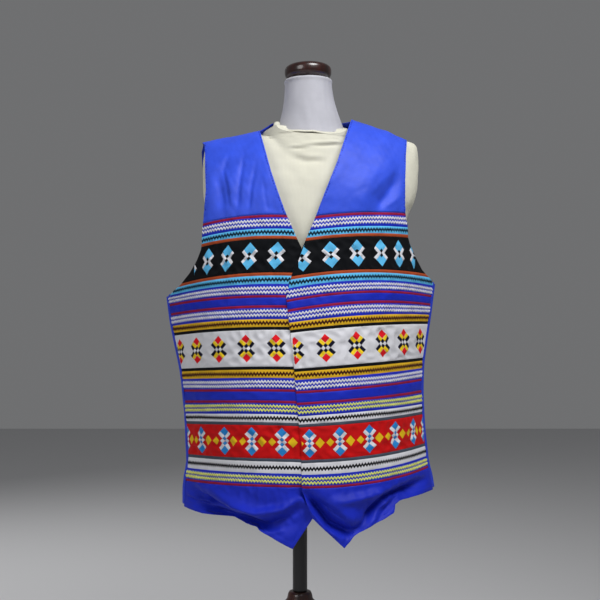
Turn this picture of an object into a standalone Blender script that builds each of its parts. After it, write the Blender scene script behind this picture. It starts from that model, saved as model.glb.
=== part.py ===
"""A patchwork vest worn on a limbless dress form, in metres, +Z up, with the form facing -Y.

The vest is a thin wall laid out in rings. A table of sections gives its width, centre and depth at
each height. The shoulders close it on top, as a dome that falls away from the crest of each
shoulder. Each front is pieced from level strips: a plain yoke, three patch bands with a trimmed
strip above and below each, plain strips between them, and a plain pointed hem panel.
Left and right are the wearer's, so the left front lies at +X. It laps over the right one.
"""

import math
from collections import namedtuple

import bmesh
import bpy
from mathutils import Matrix, Vector

# Cloth and seams
WALL = 0.0016
SEAM_GAP = 0.0003
SIDE_SEAM_GAP = 0.0005
LAP_WIDTH = 0.050
LAP_LIFT = WALL + 0.0008
LAP_FADE = 0.045
UNDERLAP_SINK = 0.0045
UNDERLAP_SINK_Z = 0.600

# Shape of the vest's rings and shoulders
RING_POWER = 2.6
FRONT_DOME = 0.165
BACK_DOME = 0.140
CHEST_POWER = 1.12
SHOULDER_POWER = 1.00
SIDE_TURN_RADIUS = 0.008
SIDE_TURN_END = math.radians(40)
SEAM_FORWARD = 0.0040
WRAP_LENGTH = 0.0153
WRAP_ARC_SHARE = 0.65
NECK_DROP_ANGLE = 0.60

Section = namedtuple("Section", "z centre_x half_width front_y seam_y back_y")
VEST_SECTIONS = (
    Section(0.480, 0.0150, 0.2205, -0.1200, 0.018, 0.116),
    Section(0.555, 0.0150, 0.2198, -0.1220, 0.018, 0.118),
    Section(0.576, 0.0145, 0.2177, -0.1225, 0.018, 0.119),
    Section(0.610, 0.0130, 0.2118, -0.1232, 0.018, 0.120),
    Section(0.668, 0.0085, 0.2105, -0.1245, 0.018, 0.122),
    Section(0.710, 0.0060, 0.2110, -0.1252, 0.018, 0.123),
    Section(0.765, 0.0030, 0.2145, -0.1262, 0.018, 0.125),
    Section(0.808, 0.0010, 0.2215, -0.1268, 0.018, 0.126),
    Section(0.851, 0.0000, 0.2290, -0.1268, 0.018, 0.127),
    Section(0.905, 0.0000, 0.2362, -0.1264, 0.018, 0.128),
    Section(0.980, 0.0000, 0.2460, -0.1250, 0.018, 0.128),
    Section(1.060, 0.0000, 0.2660, -0.1220, 0.018, 0.124),
    Section(1.200, 0.0000, 0.3000, -0.1190, 0.018, 0.116),
)

# The two shoulder seams, and the outlines that the armholes and the neck cut in the cloth
Shoulder = namedtuple("Shoulder", "neck_x neck_z tip_x tip_z")
SHOULDERS = {
    "left": Shoulder(0.0898, 1.1985, 0.1850, 1.1660),
    "right": Shoulder(-0.0710, 1.1810, -0.1700, 1.1609),
}
Edge = namedtuple("Edge", "z x")
CENTRE_EDGES = {
    "left": (
        Edge(0.480, 0.0050),
        Edge(0.5735, 0.0040),
        Edge(0.647, 0.0020),
        Edge(0.709, -0.0040),
        Edge(0.771, -0.0090),
        Edge(0.829, -0.0150),
        Edge(0.880, -0.0210),
        Edge(0.887, -0.0215),
        Edge(0.924, -0.0120),
        Edge(0.968, 0.0050),
        Edge(1.012, 0.0240),
        Edge(1.052, 0.0390),
        Edge(1.108, 0.0610),
        Edge(1.164, 0.0790),
        Edge(1.1985, 0.0898),
    ),
    "right": (
        Edge(0.480, 0.0550),
        Edge(0.5735, 0.0540),
        Edge(0.647, 0.0520),
        Edge(0.709, 0.0460),
        Edge(0.771, 0.0410),
        Edge(0.829, 0.0350),
        Edge(0.880, 0.0290),
        Edge(0.887, 0.0285),
        Edge(0.924, 0.0190),
        Edge(0.9640, 0.0028),
        Edge(0.9855, -0.0073),
        Edge(1.0084, -0.0172),
        Edge(1.0280, -0.0257),
        Edge(1.0617, -0.0376),
        Edge(1.0963, -0.0488),
        Edge(1.1326, -0.0584),
        Edge(1.1600, -0.0656),
        Edge(1.1810, -0.0710),
    ),
}
FRONT_ARMHOLES = {
    "left": (
        Edge(0.9145, 0.2325),
        Edge(0.9210, 0.2290),
        Edge(0.9251, 0.2245),
        Edge(0.9304, 0.2175),
        Edge(0.9367, 0.2099),
        Edge(0.9497, 0.2015),
        Edge(0.9641, 0.1925),
        Edge(0.9802, 0.1847),
        Edge(0.9900, 0.1818),
        Edge(1.0083, 0.1808),
        Edge(1.0200, 0.1780),
        Edge(1.0430, 0.1762),
        Edge(1.0860, 0.1770),
        Edge(1.1320, 0.1800),
        Edge(1.1660, 0.1850),
    ),
    "right": (
        Edge(0.8920, -0.2312),
        Edge(0.9110, -0.2050),
        Edge(0.9300, -0.1865),
        Edge(0.9492, -0.1735),
        Edge(0.9590, -0.1690),
        Edge(0.9671, -0.1654),
        Edge(0.9790, -0.1637),
        Edge(0.9970, -0.1628),
        Edge(1.0249, -0.1602),
        Edge(1.0500, -0.1583),
        Edge(1.0671, -0.1570),
        Edge(1.1027, -0.1592),
        Edge(1.1309, -0.1608),
        Edge(1.1542, -0.1640),
        Edge(1.1609, -0.1700),
    ),
}
UNDERARM_Z = {"left": 0.9145, "right": 0.8920}
BACK_ARMHOLES = {
    "left": (
        Edge(0.9185, 0.2300),
        Edge(0.9305, 0.2120),
        Edge(0.9595, 0.1900),
        Edge(1.0045, 0.1790),
        Edge(1.0645, 0.1760),
        Edge(1.1245, 0.1790),
        Edge(1.1660, 0.1850),
    ),
    "right": (
        Edge(0.8960, -0.2300),
        Edge(0.9110, -0.2090),
        Edge(0.9370, -0.1880),
        Edge(0.9820, -0.1720),
        Edge(1.0420, -0.1660),
        Edge(1.1000, -0.1710),
        Edge(1.1300, -0.1760),
        Edge(1.1500, -0.1755),
        Edge(1.1609, -0.1700),
    ),
}
BACK_NECKLINE = (
    Edge(1.1810, -0.0710),
    Edge(1.1940, -0.0600),
    Edge(1.2060, -0.0470),
    Edge(1.2110, -0.0250),
    Edge(1.2120, 0.0090),
    Edge(1.2100, 0.0400),
    Edge(1.2050, 0.0680),
    Edge(1.1985, 0.0898),
)

# Hem outlines, from the centre front edge out to the side seam
HEMS = {
    "left": (
        Edge(0.5735, 0.0040),
        Edge(0.5312, 0.0200),
        Edge(0.4830, 0.0710),
        Edge(0.5008, 0.0890),
        Edge(0.5165, 0.1200),
        Edge(0.5217, 0.1340),
        Edge(0.5321, 0.1560),
        Edge(0.5440, 0.1620),
        Edge(0.5495, 0.1700),
        Edge(0.5542, 0.2060),
        Edge(0.5570, 0.2320),
    ),
    "right": (
        Edge(0.5735, 0.0540),
        Edge(0.5312, 0.0215),
        Edge(0.4813, -0.0120),
        Edge(0.5128, -0.0730),
        Edge(0.5231, -0.1210),
        Edge(0.5246, -0.1740),
        Edge(0.5280, -0.2060),
    ),
}
BACK_HEM_Z = {"left": 0.5575, "right": 0.5280}
BACK_HEM_RISE = 0.004

# Levels of the pieced strips, measured down the cloth from the first maroon tape
LEVEL_TOP_Z = {"left": 1.0125, "right": 1.0166}
LEVEL_SCALE = {"left": 0.993, "right": 1.000}
MID_X = 0.110
SIDE_X = 0.220
Level = namedtuple("Level", "v left_mid left_side right_mid right_side")
LEVEL_RISES = (
    Level(0.000, 0.0115, 0.0150, -0.0010, -0.0210),
    Level(0.094, 0.0106, 0.0085, -0.0010, -0.0150),
    Level(0.130, 0.0120, 0.0098, -0.0005, -0.0090),
    Level(0.181, 0.0098, 0.0138, -0.0008, -0.0092),
    Level(0.281, 0.0070, 0.0142, -0.0008, -0.0090),
    Level(0.320, 0.0065, 0.0102, -0.0003, -0.0112),
    Level(0.436, 0.0042, 0.0150, -0.0015, -0.0100),
)
TAPE_HALF = 0.0020
TRIM_ROWS = 0.02025
NARROW_STRIP = 0.005
Band = namedtuple("Band", "name top_v accent_above patch accent_below")
BANDS = (
    Band("upper", 0.0000, 0.0115, 0.0545, 0.0130),
    Band("middle", 0.1460, 0.0123, 0.0592, 0.0133),
    Band("lower", 0.3000, 0.0130, 0.0530, 0.0185),
)

# The largest folds, each a soft line across the cloth, drawn in x and z. Depth below 0 is a hollow.
Fold = namedtuple("Fold", "width depth path")
FOLDS = {
    "left": (
        Fold(0.0100, -0.0055, ((0.0165, 0.566), (0.033, 0.542), (0.052, 0.519), (0.088, 0.499))),
        Fold(0.0120, 0.0040, ((0.045, 0.566), (0.068, 0.540), (0.098, 0.522))),
        Fold(0.0120, -0.0060, ((0.100, 0.536), (0.142, 0.541), (0.163, 0.555), (0.210, 0.571))),
        Fold(0.0180, -0.0045, ((0.178, 1.095), (0.150, 1.062), (0.122, 1.034))),
        Fold(0.0200, 0.0030, ((0.160, 1.120), (0.120, 1.080), (0.085, 1.036))),
    ),
    "right": (
        Fold(0.0090, -0.0060, ((-0.186, 0.560), (-0.175, 0.540), (-0.1235, 0.5275), (-0.089, 0.526),
                               (-0.0495, 0.508), (-0.022, 0.515), (0.010, 0.530))),
        Fold(0.0090, -0.0040, ((-0.171, 0.558), (-0.1345, 0.5395), (-0.112, 0.529))),
        Fold(0.0110, 0.0040, ((-0.150, 0.560), (-0.105, 0.545), (-0.055, 0.528), (-0.015, 0.536))),
        Fold(0.0110, -0.0032, ((-0.119, 1.117), (-0.134, 1.086), (-0.128, 1.030))),
        Fold(0.0110, -0.0032, ((-0.088, 1.116), (-0.099, 1.076), (-0.105, 1.026))),
        Fold(0.0110, -0.0030, ((-0.064, 1.104), (-0.077, 1.066), (-0.085, 1.026))),
        Fold(0.0090, -0.0024, ((-0.041, 1.060), (-0.050, 1.024))),
    ),
}
FOLD_TAPER = 0.22

# How finely each strip is divided
FRONT_COLUMNS = 14
YOKE_COLUMNS = 16
YOKE_ROWS = 12
HEM_COLUMNS = 28
HEM_ROWS = 8
PATCH_ROWS = {"upper": 6, "middle": 3, "lower": 3}
BACK_HALF_COLUMNS = 11
BACK_DOME_ROWS = 8
BACK_ARMHOLE_ROWS = (0.0, 0.25, 0.5, 0.72, 0.86, 0.94, 1.0)
BACK_BODY_ROWS = 12

# Dress form. Each ring is a rounded oval; slope tips it down towards the front, tilt up to the left.
Ring = namedtuple("Ring", "z centre_x half_width front back power slope tilt")
TORSO_RINGS = (
    Ring(0.5600, 0.0050, 0.128, 0.082, 0.084, 2.3, 0.00, 0.000),
    Ring(0.5640, 0.0050, 0.142, 0.094, 0.096, 2.3, 0.00, 0.000),
    Ring(0.5780, 0.0052, 0.151, 0.101, 0.102, 2.3, 0.00, 0.000),
    Ring(0.6200, 0.0060, 0.157, 0.104, 0.105, 2.3, 0.00, 0.000),
    Ring(0.7000, 0.0075, 0.152, 0.101, 0.100, 2.3, 0.00, 0.000),
    Ring(0.7800, 0.0095, 0.144, 0.097, 0.095, 2.3, 0.00, 0.000),
    Ring(0.8600, 0.0115, 0.149, 0.101, 0.098, 2.3, 0.00, 0.000),
    Ring(0.9400, 0.0140, 0.159, 0.106, 0.103, 2.3, 0.00, 0.004),
    Ring(0.9950, 0.0160, 0.164, 0.105, 0.104, 2.3, 0.00, 0.010),
    Ring(1.0310, 0.0168, 0.1715, 0.101, 0.102, 2.2, 0.00, 0.018),
    Ring(1.0520, 0.0172, 0.1815, 0.096, 0.099, 2.2, 0.00, 0.020),
    Ring(1.0830, 0.0180, 0.187, 0.088, 0.092, 2.1, 0.00, 0.024),
    Ring(1.1220, 0.0185, 0.1880, 0.068, 0.074, 2.1, 0.00, 0.022),
    Ring(1.1462, 0.0185, 0.1860, 0.054, 0.058, 2.1, 0.00, 0.018),
    Ring(1.1598, 0.0185, 0.1780, 0.044, 0.045, 2.0, 0.00, 0.002),
    Ring(1.1625, 0.0185, 0.1630, 0.040, 0.040, 2.0, 0.02, 0.002),
    Ring(1.1660, 0.0185, 0.1400, 0.041, 0.042, 2.0, 0.06, 0.003),
    Ring(1.1698, 0.0187, 0.1140, 0.043, 0.044, 2.0, 0.12, 0.004),
    Ring(1.1747, 0.0190, 0.0890, 0.046, 0.047, 2.0, 0.20, 0.006),
    Ring(1.1812, 0.0192, 0.0700, 0.053, 0.055, 2.0, 0.29, 0.006),
    Ring(1.1850, 0.0193, 0.0600, 0.0570, 0.0590, 2.0, 0.32, 0.000),
)
NECK_RINGS = (
    Ring(1.1853, 0.0193, 0.0550, 0.0530, 0.0550, 2.0, 0.32, 0.000),
    Ring(1.1990, 0.0185, 0.0500, 0.0490, 0.0500, 2.0, 0.24, 0.000),
    Ring(1.2180, 0.0172, 0.0460, 0.0455, 0.0460, 2.0, 0.14, 0.000),
    Ring(1.2420, 0.0155, 0.0430, 0.0430, 0.0430, 2.0, 0.04, 0.004),
    Ring(1.2620, 0.0145, 0.0412, 0.0412, 0.0412, 2.0, 0.00, 0.012),
    Ring(1.2675, 0.0142, 0.0420, 0.0420, 0.0420, 2.0, 0.00, 0.015),
    Ring(1.2700, 0.0141, 0.0408, 0.0408, 0.0408, 2.0, 0.00, 0.015),
)
TORSO_SIDES = 32
NECK_SIDES = 28

# Rolled edge of the form's cover, round the neck
ROLL_RADIUS = 0.0030
ROLL_CLEAR = 0.0038
ROLL_SIDES = 6
ROLL_STEPS = 32
ROLL_RISE = 0.0006

# Cap, pole and stand
CAP_RADIUS = 0.0410
CAP_HEIGHT = 0.0295
CAP_CORNER = 0.0120
CAP_FOOT_CORNER = 0.0030
CAP_CROWN = 0.0015
CAP_TILT = math.radians(1.0)
POLE_RADIUS = 0.0125
POLE_SIDES = 20
HUB_TOP_Z = 0.3837
TURN_STEPS = 24
Turning = namedtuple("Turning", "z radius")
POST_PROFILE = (
    Turning(HUB_TOP_Z, 0.0185),
    Turning(0.3800, 0.0205),
    Turning(0.3720, 0.0225),
    Turning(0.3640, 0.0290),
    Turning(0.3530, 0.0350),
    Turning(0.3410, 0.0370),
    Turning(0.3280, 0.0345),
    Turning(0.3160, 0.0270),
    Turning(0.3080, 0.0240),
    Turning(0.2950, 0.0265),
    Turning(0.2700, 0.0290),
    Turning(0.2400, 0.0280),
    Turning(0.2180, 0.0300),
    Turning(0.0950, 0.0300),
    Turning(0.0850, 0.0260),
    Turning(0.0740, 0.0160),
    Turning(0.0700, 0.0060),
)
POST_RADIUS_AT_LEGS = 0.0300
LEG_THICKNESS = 0.024
LEG_COUNT = 4
LEG_FIRST_ANGLE = math.radians(45)
LEG_REACH = 0.275
LEG_OUTLINE = (
    (POST_RADIUS_AT_LEGS + SEAM_GAP, 0.195),
    (0.070, 0.182),
    (0.120, 0.140),
    (0.175, 0.082),
    (0.225, 0.042),
    (0.262, 0.030),
    (LEG_REACH, 0.018),
    (LEG_REACH, 0.000),
    (0.222, 0.000),
    (0.195, 0.012),
    (0.150, 0.052),
    (0.100, 0.098),
    (0.060, 0.118),
    (POST_RADIUS_AT_LEGS + SEAM_GAP, 0.122),
)

Finish = namedtuple("Finish", "colour roughness metallic")
FINISHES = {
    "blue_cotton": Finish((0.045, 0.075, 0.620), 0.70, 0.0),
    "trimmed_strip": Finish((0.280, 0.320, 0.640), 0.75, 0.0),
    "black_patch": Finish((0.012, 0.014, 0.016), 0.80, 0.0),
    "white_patch": Finish((0.660, 0.660, 0.680), 0.80, 0.0),
    "red_patch": Finish((0.520, 0.010, 0.015), 0.75, 0.0),
    "cream_jersey": Finish((0.720, 0.700, 0.580), 0.90, 0.0),
    "grey_neck": Finish((0.440, 0.440, 0.490), 0.85, 0.0),
    "dark_wood": Finish((0.050, 0.012, 0.006), 0.15, 0.0),
    "black_metal": Finish((0.008, 0.008, 0.009), 0.35, 0.8),
}
PATCH_FINISHES = {"upper": "black_patch", "middle": "white_patch", "lower": "red_patch"}


def smooth_value(points, at):
    """Value at a place on a smooth curve through (place, value) points, with no overshoot."""
    if at <= points[0][0]:
        return points[0][1]
    if at >= points[-1][0]:
        return points[-1][1]
    index = next(i for i in range(len(points) - 1) if at <= points[i + 1][0])

    def slope(i):
        return (points[i + 1][1] - points[i][1]) / (points[i + 1][0] - points[i][0])

    def tangent(i):
        if i == 0:
            return slope(0)
        if i == len(points) - 1:
            return slope(i - 1)
        before, after = slope(i - 1), slope(i)
        if before * after <= 0:
            return 0.0
        return 2 * before * after / (before + after)

    step = points[index + 1][0] - points[index][0]
    t = (at - points[index][0]) / step
    start, end = points[index][1], points[index + 1][1]
    return (
        start * (1 + 2 * t) * (1 - t) ** 2
        + tangent(index) * step * t * (1 - t) ** 2
        + end * t * t * (3 - 2 * t)
        + tangent(index + 1) * step * t * t * (t - 1)
    )


def straight_value(points, at):
    """Value at a place on straight runs through (place, value) points."""
    if at <= points[0][0]:
        return points[0][1]
    for (start, low), (end, high) in zip(points, points[1:]):
        if at <= end:
            return low + (high - low) * (at - start) / (end - start)
    return points[-1][1]


def column(rows, key, value):
    return tuple((getattr(row, key), getattr(row, value)) for row in rows)


SECTION_CURVES = {name: column(VEST_SECTIONS, "z", name) for name in Section._fields[1:]}
RISE_CURVES = {name: column(LEVEL_RISES, "v", name) for name in Level._fields[1:]}


def section(z):
    return Section(z, *(smooth_value(SECTION_CURVES[name], z) for name in Section._fields[1:]))


def smooth_step(low, high, at):
    t = min(max((at - low) / (high - low), 0.0), 1.0)
    return t * t * (3 - 2 * t)


def shoulder_z(side, x):
    """Height of a shoulder seam's line, which runs on past both its ends."""
    seam = SHOULDERS[side]
    return seam.neck_z + (seam.tip_z - seam.neck_z) * (x - seam.neck_x) / (seam.tip_x - seam.neck_x)


def neck_drop(x):
    """How far round the back's dome the neckline lies: 0 at both shoulder seams, most behind the neck."""
    middle = (SHOULDERS["left"].neck_x + SHOULDERS["right"].neck_x) / 2
    half = (SHOULDERS["left"].neck_x - SHOULDERS["right"].neck_x) / 2
    return NECK_DROP_ANGLE * max(1 - ((x - middle) / half) ** 4, 0.0)


def back_crest_z(x):
    """Height of the back's crest: the two shoulder seams, and between them the dome over the neckline."""
    if x >= SHOULDERS["left"].neck_x:
        return shoulder_z("left", x)
    if x <= SHOULDERS["right"].neck_x:
        return shoulder_z("right", x)
    neckline = smooth_value(tuple((edge.x, edge.z) for edge in BACK_NECKLINE), x)
    return neckline + BACK_DOME * (1 - math.cos(neck_drop(x)))


def dome_height(crest, dome, w):
    """Height at w along a dome: 0 at its crest, a right angle where it ends, and straight down past that."""
    if w < math.pi / 2:
        return crest - dome * (1 - math.cos(w))
    return crest - dome * (1 + w - math.pi / 2)


def dome_place(crest, dome, z):
    drop = (crest - z) / dome
    return math.acos(1 - max(drop, 0.0)) if drop < 1 else math.pi / 2 + drop - 1


def front_depth(x, z):
    ring = section(z)
    across = abs(x - ring.centre_x) / ring.half_width
    return ring.front_y + (ring.seam_y - ring.front_y) * across**RING_POWER


def front_point(side, x, w):
    z = dome_height(shoulder_z(side, x), FRONT_DOME, w)
    y = front_depth(x, z)
    if w < math.pi / 2:
        power = CHEST_POWER + (SHOULDER_POWER - CHEST_POWER) * smooth_step(0.09, 0.17, abs(x))
        y *= max(math.sin(w), 0.0) ** power
    return Vector((x, y, z))


def path_distance(path, x, z):
    """Distance from a line of points, and how far along it the nearest place is, from 0 to 1."""
    lengths = [math.dist(a, b) for a, b in zip(path, path[1:])]
    best, best_along, before = 1.0, 0.0, 0.0
    for (a, b), length in zip(zip(path, path[1:]), lengths):
        t = ((x - a[0]) * (b[0] - a[0]) + (z - a[1]) * (b[1] - a[1])) / length**2
        t = min(max(t, 0.0), 1.0)
        distance = math.hypot(x - a[0] - t * (b[0] - a[0]), z - a[1] - t * (b[1] - a[1]))
        if distance < best:
            best, best_along = distance, before + t * length
        before += length
    return best, best_along / sum(lengths)


def fold_height(side, x, z):
    """Height of the folds, which die away at the side seam."""
    height = 0.0
    for fold in FOLDS["left"] + FOLDS["right"]:
        distance, along = path_distance(fold.path, x, z)
        ends = smooth_step(0.0, FOLD_TAPER, along) * smooth_step(0.0, FOLD_TAPER, 1 - along)
        height += fold.depth * math.exp(-((distance / fold.width) ** 2)) * (0.35 + 0.65 * ends)
    return height * smooth_step(0.0, 0.025, abs(outer_x(side, z) - x))


def lap_height(side, x, z):
    """How far the left front stands forward over the lap, and the right one's hem sinks back under it."""
    past_edge = x - straight_value(CENTRE_EDGES["left"], z)
    if side == "right":
        near_hem = 1 - smooth_step(UNDERLAP_SINK_Z - 0.030, UNDERLAP_SINK_Z, z)
        return -UNDERLAP_SINK * near_hem * smooth_step(-0.030, -0.002, past_edge)
    return LAP_LIFT * (1 - smooth_step(LAP_WIDTH + 0.012, LAP_WIDTH + 0.012 + LAP_FADE, past_edge))


def front_wall(side, x, z):
    """The outer and the inner point of a front's wall."""
    w = max(dome_place(shoulder_z(side, x), FRONT_DOME, z), 0.0)
    step = 0.0005
    near = max(w, 0.03)
    across = front_point(side, x + step, near) - front_point(side, x - step, near)
    down = front_point(side, x, near + step) - front_point(side, x, near - step)
    normal = down.cross(across).normalized()
    lift = lap_height(side, x, z) + fold_height(side, x, z)
    outer = front_point(side, x, w) + normal * lift
    return outer, outer - normal * WALL


def level_z(side, v, x):
    """Height of a level line of the piecing, v down the cloth, at x across the front."""
    middle = smooth_value(RISE_CURVES[side + "_mid"], v)
    edge = smooth_value(RISE_CURVES[side + "_side"], v)
    bend = (edge / SIDE_X - middle / MID_X) / (SIDE_X - MID_X)
    slope = middle / MID_X - bend * MID_X
    across = max(x if side == "left" else -x, -0.03)
    return LEVEL_TOP_Z[side] - LEVEL_SCALE[side] * v + slope * across + bend * across * across


def centre_x(side, z):
    return straight_value(CENTRE_EDGES[side], z)


def outer_x(side, z):
    """The front's outer edge: the armhole, and the side seam below it."""
    if z > UNDERARM_Z[side]:
        return straight_value(FRONT_ARMHOLES[side], z)
    ring = section(z)
    reach = ring.half_width - SEAM_FORWARD
    return ring.centre_x + (reach if side == "left" else -reach)


def meet(edge, side, height_at):
    """Where a level line meets an edge of the front, found by repeated substitution."""
    x = edge(side, height_at(0.0))
    for _ in range(25):
        x += 0.6 * (edge(side, height_at(x)) - x)
    return x


def spread(start, end, columns):
    """Places across a front, closer together towards its side."""
    return [start + (end - start) * (1.25 - 0.25 * c / columns) * c / columns for c in range(columns + 1)]


def strip_rows(side, levels, columns):
    rows = []
    for v in levels:
        start = meet(centre_x, side, lambda x, v=v: level_z(side, v, x))
        end = meet(outer_x, side, lambda x, v=v: level_z(side, v, x))
        rows.append([front_wall(side, x, level_z(side, v, x)) for x in spread(start, end, columns)])
    return rows


def yoke_rows(side, bottom_v):
    rows = []
    for r in range(YOKE_ROWS + 1):
        share = r / YOKE_ROWS

        def height_at(x, share=share):
            crest = shoulder_z(side, x)
            bottom = dome_place(crest, FRONT_DOME, level_z(side, bottom_v, x))
            return dome_height(crest, FRONT_DOME, bottom * share)

        seam = SHOULDERS[side]
        start = meet(centre_x, side, height_at) if r else seam.neck_x
        end = meet(outer_x, side, height_at) if r else seam.tip_x
        rows.append([front_wall(side, x, height_at(x)) for x in spread(start, end, YOKE_COLUMNS)])
    close_on_crest(rows[0], -SEAM_GAP / 2)
    return rows


def hem_rows(side, top_v):
    hem = tuple(sorted((edge.x, edge.z) for edge in HEMS[side]))
    start = HEMS[side][0].x
    corners = [edge.x for edge in HEMS[side]][1:4]
    end = meet(outer_x, side, lambda x: straight_value(hem, x))
    places = spread(start, end, HEM_COLUMNS)
    for corner in corners:
        nearest = min(range(1, HEM_COLUMNS), key=lambda i: abs(places[i] - corner))
        places[nearest] = corner
    top_end = meet(outer_x, side, lambda x: level_z(side, top_v, x))
    rows = []
    for r in range(HEM_ROWS + 1):
        down = r / HEM_ROWS
        row = []
        for place in places:
            share = ((place - start) / (end - start)) ** 3
            top_x = place + (top_end - end) * share
            top_z = level_z(side, top_v, top_x)
            z = top_z + (straight_value(hem, place) - top_z) * down
            bulge = outer_x(side, z) - (top_end + (end - top_end) * down)
            row.append(front_wall(side, top_x + (place - top_x) * down + bulge * share, z))
        rows.append(row)
    return rows


def side_turn(z, side):
    """Where the back wraps round the side seam: a small arc from the front's curve to the back's."""
    ring = section(z)
    sign = 1 if side == "left" else -1
    step = 0.001
    edge = ring.half_width - 0.0012
    slope = (front_depth(ring.centre_x + edge, z) - front_depth(ring.centre_x + edge - step, z)) / step
    angle = math.atan(slope)
    start = Vector((edge, front_depth(ring.centre_x + edge, z)))
    centre = start + SIDE_TURN_RADIUS * Vector((-math.sin(angle), math.cos(angle)))
    return ring, sign, start, centre, angle - math.pi / 2


def wrapped_wall(z, side, wrap):
    """Outer and inner point round the side: wrap 0 is on the back's curve and 1 at the side seam."""
    ring, sign, start, centre, start_angle = side_turn(z, side)
    if wrap <= WRAP_ARC_SHARE:
        angle = SIDE_TURN_END + (start_angle - SIDE_TURN_END) * wrap / WRAP_ARC_SHARE
        normal = Vector((math.cos(angle), math.sin(angle)))
        outer = centre + SIDE_TURN_RADIUS * normal
    else:
        share = (wrap - WRAP_ARC_SHARE) / (1 - WRAP_ARC_SHARE)
        normal = Vector((math.cos(start_angle), math.sin(start_angle)))
        seam = ring.half_width - SEAM_FORWARD + SIDE_SEAM_GAP
        x = start.x + (seam - start.x) * share
        outer = Vector((x, front_depth(ring.centre_x + x, z)))
    inner = outer - WALL * normal
    return tuple(Vector((ring.centre_x + sign * p.x, p.y, z)) for p in (outer, inner))


def back_edge(z):
    """x from the ring's centre, and y, where the back's own curve meets the turn at the side."""
    _, _, _, centre, _ = side_turn(z, "left")
    end = centre + SIDE_TURN_RADIUS * Vector((math.cos(SIDE_TURN_END), math.sin(SIDE_TURN_END)))
    return end.x, end.y


def back_point(x, w):
    z = dome_height(back_crest_z(x), BACK_DOME, w)
    ring = section(z)
    edge_x, edge_y = back_edge(z)
    across = abs(x - ring.centre_x) / edge_x
    y = ring.back_y - (ring.back_y - edge_y) * across**RING_POWER
    if w < math.pi / 2:
        y *= max(math.sin(w), 0.0)
    return Vector((x, y, z))


def back_wall(x, z):
    w = dome_place(back_crest_z(x), BACK_DOME, z)
    step = 0.0005
    near = max(w, 0.01)
    across = back_point(x + step, near) - back_point(x - step, near)
    down = back_point(x, near + step) - back_point(x, near - step)
    normal = across.cross(down).normalized()
    outer = back_point(x, w)
    return outer, outer - normal * WALL


def back_reach(side, z):
    """How far out the back goes at a height: along its curve, then round the side turn."""
    sign = 1 if side == "left" else -1
    armhole = BACK_ARMHOLES[side]
    edge_x, _ = back_edge(z)
    if z <= UNDERARM_Z[side]:
        return edge_x + WRAP_LENGTH
    if z <= armhole[0].z:
        above = (z - UNDERARM_Z[side]) / (armhole[0].z - UNDERARM_Z[side])
        return edge_x + WRAP_LENGTH - above * (edge_x + WRAP_LENGTH - sign * armhole[0].x)
    return sign * (straight_value(armhole, z) - section(z).centre_x)


def back_row(height_at):
    """One row of the back, from the right side seam or armhole to the left one."""
    row = []
    for j in range(-BACK_HALF_COLUMNS, BACK_HALF_COLUMNS + 1):
        side = "left" if j >= 0 else "right"
        sign = 1 if j >= 0 else -1
        reach = 0.2
        for _ in range(25):
            reach += 0.6 * (back_reach(side, height_at(sign * min(reach, 0.236))) - reach)
        along = reach * math.sin(math.pi / 2 * abs(j) / BACK_HALF_COLUMNS)
        z = height_at(sign * min(along, 0.236))
        edge_x, _ = back_edge(z)
        if along > edge_x:
            row.append(wrapped_wall(z, side, (along - edge_x) / WRAP_LENGTH))
        else:
            row.append(back_wall(section(z).centre_x + sign * along, z))
    return row


def straight_level(left_z, right_z, x):
    t = (x + 0.236) / 0.472
    return right_z + (left_z - right_z) * t


def back_rows():
    def dome_level(x, share):
        w = neck_drop(x) + (math.pi / 2 - neck_drop(x)) * share
        return dome_height(back_crest_z(x), BACK_DOME, w)

    def armhole_level(x, share):
        top = dome_level(x, 1.0)
        return top + (straight_level(UNDERARM_Z["left"], UNDERARM_Z["right"], x) - top) * share

    def body_level(x, share):
        top = straight_level(UNDERARM_Z["left"], UNDERARM_Z["right"], x)
        hem = straight_level(BACK_HEM_Z["left"], BACK_HEM_Z["right"], x) + BACK_HEM_RISE
        return top + (hem - top) * share

    rows = []
    for r in range(BACK_DOME_ROWS):
        share = r / BACK_DOME_ROWS
        rows.append(back_row(lambda x, share=share: dome_level(x, share)))
    close_on_crest(rows[0], SEAM_GAP / 2)
    for share in BACK_ARMHOLE_ROWS:
        rows.append(back_row(lambda x, share=share: armhole_level(x, share)))
    for r in range(1, BACK_BODY_ROWS + 1):
        share = r / BACK_BODY_ROWS
        rows.append(back_row(lambda x, share=share: body_level(x, share)))
    return rows


def close_on_crest(row, y):
    """Put the end of a wall upright where it lies on the crest of a shoulder."""
    for c, (outer, _) in enumerate(row):
        if abs(outer.y) < 0.002:
            row[c] = (Vector((outer.x, y, outer.z)), Vector((outer.x, y, outer.z - WALL)))


def make_material(name):
    finish = FINISHES[name]
    material = bpy.data.materials.get(name) or bpy.data.materials.new(name)
    material.use_nodes = True
    shader = material.node_tree.nodes["Principled BSDF"]
    shader.inputs["Base Color"].default_value = (*finish.colour, 1)
    shader.inputs["Roughness"].default_value = finish.roughness
    shader.inputs["Metallic"].default_value = finish.metallic
    material.diffuse_color = (*finish.colour, 1)
    return material


def add_object(name, mesh, finish, collection):
    mesh.materials.append(make_material(finish))
    obj = bpy.data.objects.new(name, mesh)
    collection.objects.link(obj)
    return obj


def mesh_from(name, bm, smooth=True):
    bmesh.ops.recalc_face_normals(bm, faces=bm.faces)
    mesh = bpy.data.meshes.new(name)
    bm.to_mesh(mesh)
    bm.free()
    if smooth:
        mesh.shade_smooth()
        mesh.set_sharp_from_angle(angle=math.radians(40))
    return mesh


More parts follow.
